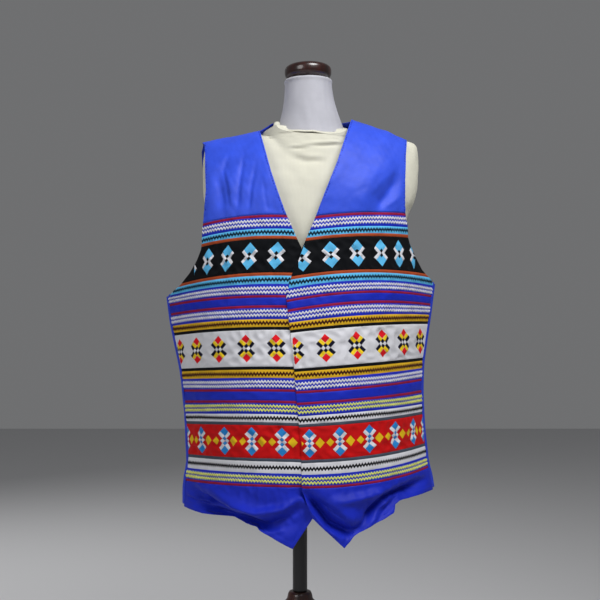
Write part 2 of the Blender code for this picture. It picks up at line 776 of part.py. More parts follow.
def thick_sheet(name, rows, finish, collection):
    """A wall of cloth between a grid of outer points and one of inner points, closed round its rim."""
    bm = bmesh.new()
    outer = [[bm.verts.new(pair[0]) for pair in row] for row in rows]
    inner = [[bm.verts.new(pair[1]) for pair in row] for row in rows]
    last_row, last_column = len(rows) - 1, len(rows[0]) - 1
    for r in range(last_row):
        for c in range(last_column):
            for grid in (outer, inner):
                bm.faces.new((grid[r][c], grid[r][c + 1], grid[r + 1][c + 1], grid[r + 1][c]))
    rim = [(0, c) for c in range(last_column)]
    rim += [(r, last_column) for r in range(last_row)]
    rim += [(last_row, c) for c in range(last_column, 0, -1)]
    rim += [(r, 0) for r in range(last_row, 0, -1)]
    for (r, c), (next_r, next_c) in zip(rim, rim[1:] + rim[:1]):
        bm.faces.new((outer[r][c], inner[r][c], inner[next_r][next_c], outer[next_r][next_c]))
    return add_object(name, mesh_from(name, bm), finish, collection)


def band_levels(band):
    """The levels, down the cloth, at which a band's three strips begin and end."""
    patch_top = band.top_v + TRIM_ROWS + band.accent_above + NARROW_STRIP
    patch_bottom = patch_top + band.patch
    bottom = patch_bottom + NARROW_STRIP + band.accent_below + TRIM_ROWS
    return band.top_v - TAPE_HALF, patch_top, patch_bottom, bottom + TAPE_HALF


def underarm_v(side):
    """The level that passes through the bottom of the armhole."""
    x = outer_x(side, UNDERARM_Z[side])
    v = 0.1
    for _ in range(20):
        v += level_z(side, v, x) - UNDERARM_Z[side]
    return v


def add_strip(name, side, start_v, end_v, finish, collection, parts=1):
    start_v, end_v = start_v + SEAM_GAP / 2, end_v - SEAM_GAP / 2
    levels = [start_v + (end_v - start_v) * i / parts for i in range(parts + 1)]
    armpit = underarm_v(side)
    if start_v < armpit < end_v:
        levels = [v for v in levels if abs(v - armpit) > 0.003]
        levels += [armpit - 0.012, armpit - 0.006, armpit - 0.002, armpit]
        levels = sorted(v for v in levels if v >= start_v)
    thick_sheet(name, strip_rows(side, levels, FRONT_COLUMNS), finish, collection)


def add_front(side, collection):
    edges = [band_levels(band) for band in BANDS]
    name = f"front_{side}"
    thick_sheet(f"{name}_yoke", yoke_rows(side, edges[0][0] - SEAM_GAP / 2), "blue_cotton", collection)
    for band, (top, patch_top, patch_bottom, bottom) in zip(BANDS, edges):
        above, below = f"{name}_{band.name}_trim_above", f"{name}_{band.name}_trim_below"
        patch = f"{name}_{band.name}_patch_band"
        add_strip(above, side, top, patch_top, "trimmed_strip", collection, 2)
        add_strip(patch, side, patch_top, patch_bottom, PATCH_FINISHES[band.name], collection,
                  PATCH_ROWS[band.name])
        add_strip(below, side, patch_bottom, bottom, "trimmed_strip", collection, 2)
    for number, (above, below) in enumerate(zip(edges, edges[1:]), 1):
        add_strip(f"{name}_plain_strip_{number}", side, above[3], below[0], "blue_cotton", collection)
    rows = hem_rows(side, edges[-1][3] + SEAM_GAP / 2)
    thick_sheet(f"{name}_hem_panel", rows, "blue_cotton", collection)


def ring_point(ring, angle, grow=0.0):
    """A point on a rounded oval ring, at an angle from +X, grown outwards by a distance."""
    cosine, sine = math.cos(angle), math.sin(angle)
    depth = (ring.back if sine > 0 else ring.front) + grow
    power = 2 / ring.power
    x = (ring.half_width + grow) * math.copysign(abs(cosine) ** power, cosine)
    y = depth * math.copysign(abs(sine) ** power, sine)
    return Vector((ring.centre_x + x, y, ring.z + ring.slope * y + ring.tilt * x))


def add_ring_loft(name, rings, sides, finish, collection):
    bm = bmesh.new()
    loops = []
    for ring in rings:
        angles = [2 * math.pi * i / sides for i in range(sides)]
        loops.append([bm.verts.new(ring_point(ring, angle)) for angle in angles])
    for low, high in zip(loops, loops[1:]):
        for i in range(sides):
            j = (i + 1) % sides
            bm.faces.new((low[i], low[j], high[j], high[i]))
    bm.faces.new(loops[0][::-1])
    bm.faces.new(loops[-1])
    return add_object(name, mesh_from(name, bm), finish, collection)


def add_cover_roll(collection):
    """The rolled top edge of the cover, a tube round the foot of the neck."""
    bm = bmesh.new()
    base = NECK_RINGS[0]
    loops = []
    for i in range(ROLL_STEPS):
        angle = 2 * math.pi * i / ROLL_STEPS
        loop = []
        for k in range(ROLL_SIDES):
            turn = 2 * math.pi * (k + 0.5) / ROLL_SIDES
            grow = ROLL_CLEAR + ROLL_RADIUS * math.cos(turn)
            lift = ROLL_RISE + ROLL_RADIUS * (1 + math.sin(turn)) / 2
            loop.append(bm.verts.new(ring_point(base, angle, grow) + Vector((0, 0, lift))))
        loops.append(loop)
    for i in range(ROLL_STEPS):
        for k in range(ROLL_SIDES):
            j, m = (i + 1) % ROLL_STEPS, (k + 1) % ROLL_SIDES
            bm.faces.new((loops[i][k], loops[j][k], loops[j][m], loops[i][m]))
    return add_object("form_cover_roll", mesh_from("form_cover_roll", bm), "cream_jersey", collection)


def add_turning(name, profile, steps, finish, collection):
    """A turned piece: a profile from top to bottom, with its ends on the axis, spun by a Screw."""
    points = [(0.0, profile[0].z)] + [(row.radius, row.z) for row in profile] + [(0.0, profile[-1].z)]
    mesh = bpy.data.meshes.new(name)
    mesh.from_pydata([(r, 0, z) for r, z in points], [(i, i + 1) for i in range(len(points) - 1)], [])
    obj = add_object(name, mesh, finish, collection)
    screw = obj.modifiers.new("Turn", "SCREW")
    screw.steps = screw.render_steps = steps
    screw.use_merge_vertices = True
    screw.merge_threshold = 0.0001
    screw.use_smooth_shade = True
    return obj


def cap_profile():
    """Half outline of the neck cap: a low crown, a round shoulder and a small round foot."""
    side, top = CAP_RADIUS - CAP_CORNER, CAP_HEIGHT - CAP_CORNER
    rows = [Turning(CAP_HEIGHT, side * 0.45)]
    for i in range(6):
        angle = math.radians(90 - 18 * i)
        rows.append(Turning(top - CAP_CROWN + CAP_CORNER * math.sin(angle), side + CAP_CORNER * math.cos(angle)))
    rows.append(Turning(CAP_FOOT_CORNER, CAP_RADIUS))
    rows.append(Turning(0.0, CAP_RADIUS - CAP_FOOT_CORNER))
    return rows


def add_cap(collection):
    top = NECK_RINGS[-1]
    cap = add_turning("form_neck_cap", cap_profile(), TURN_STEPS, "dark_wood", collection)
    cap.location = (top.centre_x, 0, top.z + SEAM_GAP)
    cap.rotation_euler = Matrix.Rotation(-math.atan(top.tilt), 3, "Y").to_euler()


def add_pole(collection):
    bottom, top = HUB_TOP_Z + SEAM_GAP, TORSO_RINGS[0].z - SEAM_GAP
    bm = bmesh.new()
    bmesh.ops.create_cone(bm, cap_ends=True, segments=POLE_SIDES, radius1=POLE_RADIUS,
                          radius2=POLE_RADIUS, depth=top - bottom,
                          matrix=Matrix.Translation((0, 0, (top + bottom) / 2)))
    add_object("stand_pole", mesh_from("stand_pole", bm), "black_metal", collection)


def add_leg(number, collection):
    """One leg: a board sawn to a curved outline, standing on its flat foot."""
    outline = bpy.data.curves.new(f"leg_outline_{number}", "CURVE")
    outline.dimensions = "2D"
    outline.fill_mode = "BOTH"
    outline.extrude = LEG_THICKNESS / 2
    spline = outline.splines.new("POLY")
    spline.points.add(len(LEG_OUTLINE) - 1)
    for point, (reach, height) in zip(spline.points, LEG_OUTLINE):
        point.co = (reach, height, 0, 1)
    spline.use_cyclic_u = True
    leg = bpy.data.objects.new(f"stand_leg_{number}", outline)
    collection.objects.link(leg)
    outline.materials.append(make_material("dark_wood"))
    turn = Matrix.Rotation(LEG_FIRST_ANGLE + 2 * math.pi * number / LEG_COUNT, 4, "Z")
    leg.matrix_world = turn @ Matrix.Rotation(math.pi / 2, 4, "X")


def clear_scene():
    for obj in list(bpy.data.objects):
        bpy.data.objects.remove(obj, do_unlink=True)


def main():
    clear_scene()
    collection = bpy.data.collections.new("patchwork_vest_on_dress_form")
    bpy.context.scene.collection.children.link(collection)
    for side in ("left", "right"):
        add_front(side, collection)
    thick_sheet("back_panel", back_rows(), "blue_cotton", collection)
    add_ring_loft("form_torso", TORSO_RINGS, TORSO_SIDES, "cream_jersey", collection)
    add_ring_loft("form_neck", NECK_RINGS, NECK_SIDES, "grey_neck", collection)
    add_cover_roll(collection)
    add_cap(collection)
    add_pole(collection)
    add_turning("stand_post", POST_PROFILE, TURN_STEPS, "dark_wood", collection)
    for number in range(LEG_COUNT):
        add_leg(number, collection)


main()
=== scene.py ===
import math
from collections import namedtuple

import bmesh
import bpy
import numpy as np
from mathutils import Matrix, Vector


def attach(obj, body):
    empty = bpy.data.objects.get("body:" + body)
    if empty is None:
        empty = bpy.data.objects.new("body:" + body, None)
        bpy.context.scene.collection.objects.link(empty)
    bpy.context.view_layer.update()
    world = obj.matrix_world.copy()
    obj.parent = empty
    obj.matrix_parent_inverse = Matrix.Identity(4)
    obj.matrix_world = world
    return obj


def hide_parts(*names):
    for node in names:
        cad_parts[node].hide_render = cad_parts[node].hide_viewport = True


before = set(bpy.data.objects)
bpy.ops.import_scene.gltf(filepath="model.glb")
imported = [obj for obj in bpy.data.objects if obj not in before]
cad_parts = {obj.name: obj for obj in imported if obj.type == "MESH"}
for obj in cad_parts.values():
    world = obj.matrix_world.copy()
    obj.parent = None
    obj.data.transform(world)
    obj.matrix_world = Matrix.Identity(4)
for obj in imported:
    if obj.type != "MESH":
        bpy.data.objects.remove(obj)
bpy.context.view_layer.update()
QUARTER = math.pi / 2


def metres(table):
    """Lengths that are given in tenths of a millimetre, as metres."""
    if isinstance(table, tuple):
        return tuple(metres(part) for part in table)
    return table / 10000


def named_rows(kind, rows):
    return tuple(kind(*metres(row)) for row in rows)


# Shape of the vest, as its solids have it. Tables of lengths are in tenths of a millimetre
WALL = 0.0016
LAP_WIDTH = 0.050
LAP_LIFT = WALL + 0.0008
LAP_FADE = 0.045
LAP_FADE_START = LAP_WIDTH + 0.012
UNDERLAP_SINK = 0.0045
UNDERLAP_SINK_Z = 0.600
UNDERLAP_FADE = 0.030
RING_POWER = 2.6
FRONT_DOME = 0.165
BACK_DOME = 0.140
CHEST_POWER = 1.12
SHOULDER_POWER = 1.00
SHOULDER_BLEND = (0.09, 0.17)
SIDE_TURN_RADIUS = 0.008
SIDE_TURN_END = math.radians(40)
SIDE_TURN_INSET = 0.0012
SEAM_FORWARD = 0.0040
WRAP_LENGTH = 0.0153
WRAP_ARC_SHARE = 0.65
NECK_DROP_ANGLE = 0.60
BACK_HALF_WIDTH = 0.236
BACK_SPACING = 0.92
SIDE_FADE = 0.025
BACK_FADE_X = 0.225
BACK_FADE = 0.03
MEET_SHARE = 0.6
FRONT_MEET_STEPS = 30
BACK_MEET_STEPS = 25
ARC_SAMPLES = 300

Section = namedtuple("Section", "z centre_x half_width front_y seam_y back_y")
VEST_SECTIONS = named_rows(Section, (
    (4800, 150, 2205, -1200, 180, 1160), (5550, 150, 2198, -1220, 180, 1180),
    (5760, 145, 2177, -1225, 180, 1190), (6100, 130, 2118, -1232, 180, 1200),
    (6680, 85, 2105, -1245, 180, 1220), (7100, 60, 2110, -1252, 180, 1230),
    (7650, 30, 2145, -1262, 180, 1250), (8080, 10, 2215, -1268, 180, 1260),
    (8510, 0, 2290, -1268, 180, 1270), (9050, 0, 2362, -1264, 180, 1280), (9800, 0, 2460, -1250, 180, 1280),
    (10600, 0, 2660, -1220, 180, 1240), (12000, 0, 3000, -1190, 180, 1160),
))
Shoulder = namedtuple("Shoulder", "neck_x neck_z tip_x tip_z")
SHOULDERS = {
    "left": Shoulder(0.0898, 1.1985, 0.1850, 1.1660),
    "right": Shoulder(-0.0710, 1.1810, -0.1700, 1.1609),
}
# Each edge is a list of (z, x)
CENTRE_EDGES = {
    "left": metres((
        (4800, 50), (5735, 40), (6470, 20), (7090, -40), (7710, -90), (8290, -150), (8800, -210),
        (8870, -215), (9240, -120), (9680, 50), (10120, 240), (10520, 390), (11080, 610), (11640, 790),
        (11985, 898),
    )),
    "right": metres((
        (4800, 550), (5735, 540), (6470, 520), (7090, 460), (7710, 410), (8290, 350), (8800, 290),
        (8870, 285), (9240, 190), (9640, 28), (9855, -73), (10084, -172), (10280, -257), (10617, -376),
        (10963, -488), (11326, -584), (11600, -656), (11810, -710),
    )),
}
FRONT_ARMHOLES = {
    "left": metres((
        (9145, 2325), (9210, 2290), (9251, 2245), (9304, 2175), (9367, 2099), (9497, 2015), (9641, 1925),
        (9802, 1847), (9900, 1818), (10083, 1808), (10200, 1780), (10430, 1762), (10860, 1770),
        (11320, 1800), (11660, 1850),
    )),
    "right": metres((
        (8920, -2312), (9110, -2050), (9300, -1865), (9492, -1735), (9590, -1690), (9671, -1654),
        (9790, -1637), (9970, -1628), (10249, -1602), (10500, -1583), (10671, -1570), (11027, -1592),
        (11309, -1608), (11542, -1640), (11609, -1700),
    )),
}
BACK_ARMHOLES = {
    "left": metres((
        (9185, 2300), (9305, 2120), (9595, 1900), (10045, 1790), (10645, 1760), (11245, 1790),
        (11660, 1850),
    )),
    "right": metres((
        (8960, -2300), (9110, -2090), (9370, -1880), (9820, -1720), (10420, -1660), (11000, -1710),
        (11300, -1760), (11500, -1755), (11609, -1700),
    )),
}
UNDERARM_Z = {"left": 0.9145, "right": 0.8920}
# Each neckline or hem is a list of (x, z)
BACK_NECKLINE = metres((
    (-710, 11810), (-600, 11940), (-470, 12060), (-250, 12110), (90, 12120), (400, 12100), (680, 12050),
    (898, 11985),
))
HEMS = {
    "left": metres((
        (40, 5735), (200, 5312), (710, 4830), (890, 5008), (1200, 5165), (1340, 5217), (1560, 5321),
        (1620, 5440), (1700, 5495), (2060, 5542), (2320, 5570),
    )),
    "right": metres((
        (-2060, 5280), (-1740, 5246), (-1210, 5231), (-730, 5128), (-120, 4813), (215, 5312), (540, 5735),
    )),
}
BACK_HEM_Z = {"left": 0.5575, "right": 0.5280}
BACK_HEM_RISE = 0.004

# Level lines of the piecing, v down the cloth
LEVEL_TOP_Z = {"left": 1.0125, "right": 1.0166}
LEVEL_SCALE = {"left": 0.993, "right": 1.000}
MID_X = 0.110
SIDE_X = 0.220
PAST_CENTRE_X = -0.03
Level = namedtuple("Level", "v left_mid left_side right_mid right_side")
LEVEL_RISES = named_rows(Level, (
    (0, 115, 150, -10, -210), (940, 106, 85, -10, -150), (1300, 120, 98, -5, -90), (1810, 98, 138, -8, -92),
    (2810, 70, 142, -8, -90), (3200, 65, 102, -3, -112), (4360, 42, 150, -15, -100),
))
TAPE_HALF = 0.0020
TRIM_ROWS = 0.02025
NARROW_STRIP = 0.005
Band = namedtuple("Band", "name top_v accent_above patch accent_below accent narrow field slot broad thin")
BANDS = (
    Band("upper", *metres((0, 115, 545, 130)), "light_blue", "rust", "soft_black", "black_patch",
         "white", "dark_teal"),
    Band("middle", *metres((1460, 123, 592, 133)), "gold", "soft_black", "white", "white_patch",
         "white", "dark_brown"),
    Band("lower", *metres((3000, 130, 530, 185)), "white", "grey", "deep_red", "red_patch",
         "yellow_green", "soft_black"),
)

# Folds in x and z. The solids have the first ones; the fine folds and the back's are in the looks alone
Fold = namedtuple("Fold", "width depth path")
FOLDS = named_rows(Fold, (
    (100, -55, ((165, 5660), (330, 5420), (520, 5190), (880, 4990))),
    (120, 40, ((450, 5660), (680, 5400), (980, 5220))),
    (120, -60, ((1000, 5360), (1420, 5410), (1630, 5550), (2100, 5710))),
    (180, -45, ((1780, 10950), (1500, 10620), (1220, 10340))),
    (200, 30, ((1600, 11200), (1200, 10800), (850, 10360))),
    (90, -60, ((-1860, 5600), (-1750, 5400), (-1235, 5275), (-890, 5260), (-495, 5080),
        (-220, 5150), (100, 5300))),
    (90, -40, ((-1710, 5580), (-1345, 5395), (-1120, 5290))),
    (110, 40, ((-1500, 5600), (-1050, 5450), (-550, 5280), (-150, 5360))),
    (110, -32, ((-1190, 11170), (-1340, 10860), (-1280, 10300))),
    (110, -32, ((-880, 11160), (-990, 10760), (-1050, 10260))),
    (110, -30, ((-640, 11040), (-770, 10660), (-850, 10260))),
    (90, -24, ((-410, 10600), (-500, 10240))),
))
FINE_FOLDS = named_rows(Fold, (
    (38, -15, ((-1180, 11330), (-1290, 11010), (-1215, 10676), (-1178, 10380), (-1075, 10273))),
    (70, -22, ((-1407, 10907), (-1321, 10574), (-1254, 10259))),
    (45, 10, ((-1311, 11050), (-1141, 10712), (-1101, 10423), (-985, 10281))),
    (36, -16, ((-935, 11290), (-1005, 10800), (-1040, 10320))),
    (50, 11, ((-893, 11061), (-946, 10746), (-957, 10384))),
    (36, -15, ((-725, 11130), (-805, 10745), (-840, 10276))),
    (50, 13, ((-680, 10946), (-761, 10636), (-785, 10291))),
    (32, -10, ((-608, 10795), (-526, 10235))),
    (80, 12, ((-1077, 11363), (-1309, 11186), (-1472, 10977))),
    (80, -30, ((1698, 10920), (1520, 10671), (1270, 10325))),
    (40, 20, ((1761, 10632), (1608, 10501), (1403, 10369))),
    (30, -22, ((1779, 10566), (1687, 10372), (1633, 10267))),
    (26, -8, ((838, 10560), (1113, 10685))),
    (50, 10, ((1605, 11047), (1383, 10814), (1097, 10520))),
    (75, -66, ((-1787, 5533), (-1565, 5338), (-1353, 5274), (-931, 5232), (-578, 5185),
        (-196, 5303), (-11, 5436))),
    (36, -30, ((-1815, 5605), (-1595, 5525), (-1330, 5431), (-923, 5317), (-725, 5283))),
    (30, 26, ((-1806, 5461), (-1571, 5439), (-1403, 5361))),
    (60, 34, ((-1093, 5439), (-699, 5378), (-289, 5453), (-34, 5591))),
    (50, 26, ((-818, 5108), (-498, 5055), (-214, 5121))),
    (26, -20, ((-2000, 5486), (-1900, 5450), (-1819, 5425))),
    (70, -60, ((96, 5683), (270, 5465), (459, 5227), (787, 5082), (985, 5123))),
    (40, 26, ((32, 5620), (225, 5384), (434, 5134), (690, 4953))),
    (70, -58, ((2141, 5758), (1761, 5669), (1388, 5579), (1260, 5442), (1110, 5272), (952, 5100))),
    (80, 34, ((554, 5561), (1022, 5619), (1451, 5703))),
    (40, 20, ((1158, 5228), (1325, 5415), (1553, 5572), (1903, 5646))),
    (30, -16, ((290, 5583), (526, 5446), (748, 5263))),
    (40, -16, ((1633, 5510), (1443, 5355), (1238, 5173))),
))
BACK_FOLDS = named_rows(Fold, (
    (120, -81, ((1300, 11200), (980, 10500), (720, 9600))),
    (140, 72, ((1500, 10900), (1180, 10200), (920, 9300))),
    (100, -63, ((1650, 10400), (1400, 9850), (1200, 9200))),
    (120, -72, ((-1200, 11100), (-880, 10300), (-700, 9500))),
    (140, 68, ((-1450, 10700), (-1120, 10000), (-900, 9300))),
    (110, -63, ((-300, 11500), (-100, 11420), (300, 11500))),
    (120, -90, ((-1950, 8150), (-1100, 7820), (-200, 7900))),
    (130, 76, ((-1800, 7800), (-900, 7570), (100, 7680), (800, 7580))),
    (120, -86, ((-600, 7450), (500, 7380), (1900, 7650))),
    (130, 72, ((0, 7150), (1000, 7120), (1950, 7350))),
    (100, -68, ((400, 6900), (1200, 6800), (2000, 6950))),
    (140, 90, ((-1400, 7000), (-1280, 6300), (-1350, 5320))),
    (130, -94, ((-920, 6900), (-800, 6200), (-860, 5320))),
    (160, 94, ((-300, 7000), (-200, 6250), (-300, 5320))),
    (140, -86, ((280, 6800), (360, 6100), (300, 5360))),
    (150, 86, ((820, 6700), (920, 6100), (860, 5400))),
    (120, -76, ((1400, 6600), (1460, 6000), (1420, 5450))),
    (100, -54, ((-1760, 6200), (-1720, 5800), (-1760, 5350))),
))
FOLD_TAPER = 0.22
FOLD_END_SHARE = 0.35
# Below these heights the cloth hangs free, and its folds are deeper by these shares
SLACK_HEIGHTS = (0.60, 0.68)
FOLD_SLACK = 0.5
FINE_FOLD_SLACK = 1.4

# Uneven waves of the cloth, each a sum of waves near one length
RIPPLE_WAVES = 7
RIPPLE_SPREAD = (0.6, 1.5)
Ripple = namedtuple("Ripple", "height length seed stretch")
FRONT_RIPPLES = (Ripple(0.0006, 0.034, 5, 1.3), Ripple(0.00022, 0.011, 8, 1.5))
BACK_RIPPLES = (Ripple(0.0008, 0.040, 11, 1.4), Ripple(0.00022, 0.012, 12, 1.5))
GATHERS = (Ripple(0.00042, 0.008, 13, 3.0),)
CREASES = Ripple(0.0031, 0.032, 17, 0.8)
CREASE_LEVEL = 0.4
CREASE_ROUNDING = 0.03
YOKE_CREASES, BODY_CREASES, PATCH_CREASES = 0.06, 0.34, 0.6
CREASE_FADE = 0.005
YOKE_BLEND = (-0.004, 0.004)
GATHER_REACH = 0.0050
TORSO_RIPPLES = (Ripple(0.0004, 0.035, 21, 1.0),)
NECK_RIPPLES = (Ripple(0.0003, 0.02, 31, 3),)

# Cloth detail that only the looks have
CLOTH = 0.0006
TURN_RADIUS = 0.0008
HEM_ALLOWANCE = 0.006
TURN_ANGLES = np.radians((45, 90, 135, 180))
SEAM_DIP = 0.0005
SEAM_DIP_REACH = 0.0012
COLUMNS = 76
PATCH_BAND_COLUMNS = 120
ROW_STEP = 0.0022
YOKE_ROW_STEP = 0.0028
HEM_RIDGE = 0.0008
HEM_RIDGE_HEIGHTS = (0.0060, 0.0085)
ROWS_BESIDE_SEAM = np.array([0.0006, 0.0014, 0.0026])
STITCH_STEP = 0.0055
STITCH_INSET = 0.0016
STITCH_LENGTH = 0.0027
STITCH_WIDTH = 0.0013
STITCH_HEIGHT = 0.00065
DIMPLE_DEPTH = 0.0010
DIMPLE_REACH = 0.0034
DIMPLE_STRETCH = 1.07


def smooth_slopes(slopes):
    """Slopes at each place of a curve with no overshoot, from the slopes between the places."""
    tangents = np.concatenate([slopes[:1], np.zeros_like(slopes[1:]), slopes[-1:]])
    before, after = slopes[:-1], slopes[1:]
    same = before * after > 0
    tangents[1:-1] = np.where(same, 2 * before * after / np.where(same, before + after, 1), 0)
    return tangents


def curve_between(values, tangents, i, t, step):
    return (values[i] * (1 + 2 * t) * (1 - t) ** 2 + tangents[i] * step * t * (1 - t) ** 2
            + values[i + 1] * t * t * (3 - 2 * t) + tangents[i + 1] * step * t * t * (t - 1))


def smooth_curve(points):
    """A smooth curve through (place, value) points, as a function of arrays."""
    places, values = (np.array(column, float) for column in zip(*points))
    tangents = smooth_slopes(np.diff(values) / np.diff(places))

    def value(at):
        at = np.clip(at, places[0], places[-1])
        i = np.clip(np.searchsorted(places, at) - 1, 0, len(places) - 2)
        step = places[i + 1] - places[i]
        return curve_between(values, tangents, i, (at - places[i]) / step, step)

    return value


def straight_curve(points):
    places, values = zip(*points)
    return lambda at: np.interp(at, places, values)


def smooth_step(low, high, at):
    t = np.clip((at - low) / (high - low), 0.0, 1.0)
    return t * t * (3 - 2 * t)


def unit(vectors):
    return vectors / np.maximum(np.linalg.norm(vectors, axis=-1, keepdims=True), 1e-12)


def lengths_along(points, axis=0):
    """Distance from the first point of each line of points."""
    steps = np.cumsum(np.linalg.norm(np.diff(points, axis=axis), axis=-1), axis)
    return np.concatenate([np.zeros_like(np.take(steps, [0], axis)), steps], axis)


def column_curves(rows, first):
    at = [getattr(row, first) for row in rows]
    names = [name for name in rows[0]._fields if name != first]
    return {name: smooth_curve(list(zip(at, (getattr(row, name) for row in rows)))) for name in names}


SECTIONS = column_curves(VEST_SECTIONS, "z")
RISES = column_curves(LEVEL_RISES, "v")
CENTRE_X, ARMHOLE_X, BACK_ARMHOLE_X, HEM_Z = (
    {side: straight_curve(points) for side, points in table.items()}
    for table in (CENTRE_EDGES, FRONT_ARMHOLES, BACK_ARMHOLES, HEMS)
)
BACK_NECK_Z = smooth_curve(BACK_NECKLINE)
SIGN = {"left": 1, "right": -1}


def shoulder_z(side, x):
    seam = SHOULDERS[side]
    return seam.neck_z + (seam.tip_z - seam.neck_z) * (x - seam.neck_x) / (seam.tip_x - seam.neck_x)


def neck_drop(x):
    left, right = SHOULDERS["left"].neck_x, SHOULDERS["right"].neck_x
    middle, half = (left + right) / 2, (left - right) / 2
    return NECK_DROP_ANGLE * np.maximum(1 - ((x - middle) / half) ** 4, 0.0)


def back_crest_z(x):
    between = BACK_NECK_Z(x) + BACK_DOME * (1 - np.cos(neck_drop(x)))
    at_left = np.where(x >= SHOULDERS["left"].neck_x, shoulder_z("left", x), between)
    return np.where(x <= SHOULDERS["right"].neck_x, shoulder_z("right", x), at_left)


def dome_height(crest, dome, w):
    return np.where(w < QUARTER, crest - dome * (1 - np.cos(w)), crest - dome * (1 + w - QUARTER))


def dome_place(crest, dome, z):
    drop = (crest - z) / dome
    return np.where(drop < 1, np.arccos(np.clip(1 - drop, -1, 1)), QUARTER + drop - 1)


def front_depth(x, z):
    across = np.abs(x - SECTIONS["centre_x"](z)) / SECTIONS["half_width"](z)
    near, seam = SECTIONS["front_y"](z), SECTIONS["seam_y"](z)
    return near + (seam - near) * across**RING_POWER


def front_point(side, x, w):
    z = dome_height(shoulder_z(side, x), FRONT_DOME, w)
    power = CHEST_POWER + (SHOULDER_POWER - CHEST_POWER) * smooth_step(*SHOULDER_BLEND, np.abs(x))
    falling = np.maximum(np.sin(np.minimum(w, QUARTER)), 1e-9) ** power
    return np.stack([x, front_depth(x, z) * falling, z], -1)


def path_place(path, x, z):
    """Distance from a line of points, and the share of its length at which the nearest place lies."""
    path = np.array(path)
    lengths = np.linalg.norm(np.diff(path, axis=0), axis=1)
    best = np.full(np.shape(x), 9.0)
    along = np.zeros(np.shape(x))
    before = 0.0
    for a, b, length in zip(path, path[1:], lengths):
        t = np.clip(((x - a[0]) * (b[0] - a[0]) + (z - a[1]) * (b[1] - a[1])) / length**2, 0, 1)
        distance = np.hypot(x - a[0] - t * (b[0] - a[0]), z - a[1] - t * (b[1] - a[1]))
        nearer = distance < best
        best = np.where(nearer, distance, best)
        along = np.where(nearer, before + t * length, along)
        before += length
    return best, along / lengths.sum()


def folds_height(folds, x, z):
    height = np.zeros(np.shape(x))
    for fold in folds:
        distance, along = path_place(fold.path, x, z)
        ends = smooth_step(0.0, FOLD_TAPER, along) * smooth_step(0.0, FOLD_TAPER, 1 - along)
        share = FOLD_END_SHARE + (1 - FOLD_END_SHARE) * ends
        height += fold.depth * np.exp(-((distance / fold.width) ** 2)) * share
    return height


def ripple(x, z, row):
    """Uneven waves from -1 to 1 with about that length, longer down the cloth where stretch is over 1."""
    rng = np.random.default_rng(row.seed)
    total = np.zeros(np.shape(x))
    for _ in range(RIPPLE_WAVES):
        angle, phase = rng.uniform(0, math.pi), rng.uniform(0, 2 * math.pi)
        wave = 2 * math.pi * rng.uniform(*RIPPLE_SPREAD) / row.length
        total += np.sin(wave * (x * math.cos(angle) + z * math.sin(angle) / row.stretch) + phase)
    return total / 4


def ripples_height(ripples, x, z):
    return sum(row.height * ripple(x, z, row) for row in ripples)


def outer_x(side, z):
    reach = SECTIONS["half_width"](z) - SEAM_FORWARD
    seam = SECTIONS["centre_x"](z) + SIGN[side] * reach
    return np.where(z > UNDERARM_Z[side], ARMHOLE_X[side](z), seam)


def lap_height(side, x, z):
    past_edge = x - CENTRE_X["left"](z)
    if side == "right":
        near_hem = 1 - smooth_step(UNDERLAP_SINK_Z - UNDERLAP_FADE, UNDERLAP_SINK_Z, z)
        return -UNDERLAP_SINK * near_hem * smooth_step(-UNDERLAP_FADE, -0.002, past_edge)
    return LAP_LIFT * (1 - smooth_step(LAP_FADE_START, LAP_FADE_START + LAP_FADE, past_edge))


def relief(side, x, z):
    """Height of a front's cloth over its smooth form."""
    fade = smooth_step(0.0, SIDE_FADE, np.abs(outer_x(side, z) - x))
    slack = 1 - smooth_step(*SLACK_HEIGHTS, z)
    height = folds_height(FOLDS, x, z) * (1 + FOLD_SLACK * slack)
    height += folds_height(FINE_FOLDS, x, z) * (1 + FINE_FOLD_SLACK * slack)
    height += ripples_height(FRONT_RIPPLES, x, z)
    return lap_height(side, x, z) + (height + seam_puckers(side, x, z)) * fade + stitch_dimples(side, x, z)


def level_z(side, v, x):
    middle, edge = RISES[side + "_mid"](v), RISES[side + "_side"](v)
    bend = (edge / SIDE_X - middle / MID_X) / (SIDE_X - MID_X)
    slope = middle / MID_X - bend * MID_X
    across = np.maximum(SIGN[side] * x, PAST_CENTRE_X)
    return LEVEL_TOP_Z[side] - LEVEL_SCALE[side] * v + slope * across + bend * across * across


def level_v(side, x, z):
    """The level of the piecing that passes through a place."""
    v = (LEVEL_TOP_Z[side] - z) / LEVEL_SCALE[side]
    for _ in range(4):
        v = v + (level_z(side, v, x) - z) / LEVEL_SCALE[side]
    return v


def band_levels(band):
    """Levels of a band's top, of the top and bottom of its patches, and of its bottom."""
    patch_top = band.top_v + TRIM_ROWS + band.accent_above + NARROW_STRIP
    patch_bottom = patch_top + band.patch
    return band.top_v, patch_top, patch_bottom, patch_bottom + NARROW_STRIP + band.accent_below + TRIM_ROWS


def seam_puckers(side, x, z):
    """Short uneven gathers along the seams of the piecing, and small creases, most in the patch bands."""
    v = level_v(side, x, z)
    near = np.zeros(np.shape(x))
    inside = YOKE_CREASES + BODY_CREASES * smooth_step(*YOKE_BLEND, v)
    for band in BANDS:
        top, patch_top, patch_bottom, bottom = band_levels(band)
        for seam in (top, patch_top, patch_bottom + NARROW_STRIP, bottom):
            near = np.maximum(near, np.exp(-(((v - seam) / GATHER_REACH) ** 2)))
        past_top = smooth_step(patch_top, patch_top + CREASE_FADE, v)
        past_bottom = smooth_step(patch_bottom - CREASE_FADE, patch_bottom, v)
        inside += PATCH_CREASES * past_top * (1 - past_bottom)
    crease = CREASE_LEVEL - np.sqrt(ripple(x, z, CREASES) ** 2 + CREASE_ROUNDING)
    return near * ripples_height(GATHERS, x, z) + CREASES.height * inside * crease


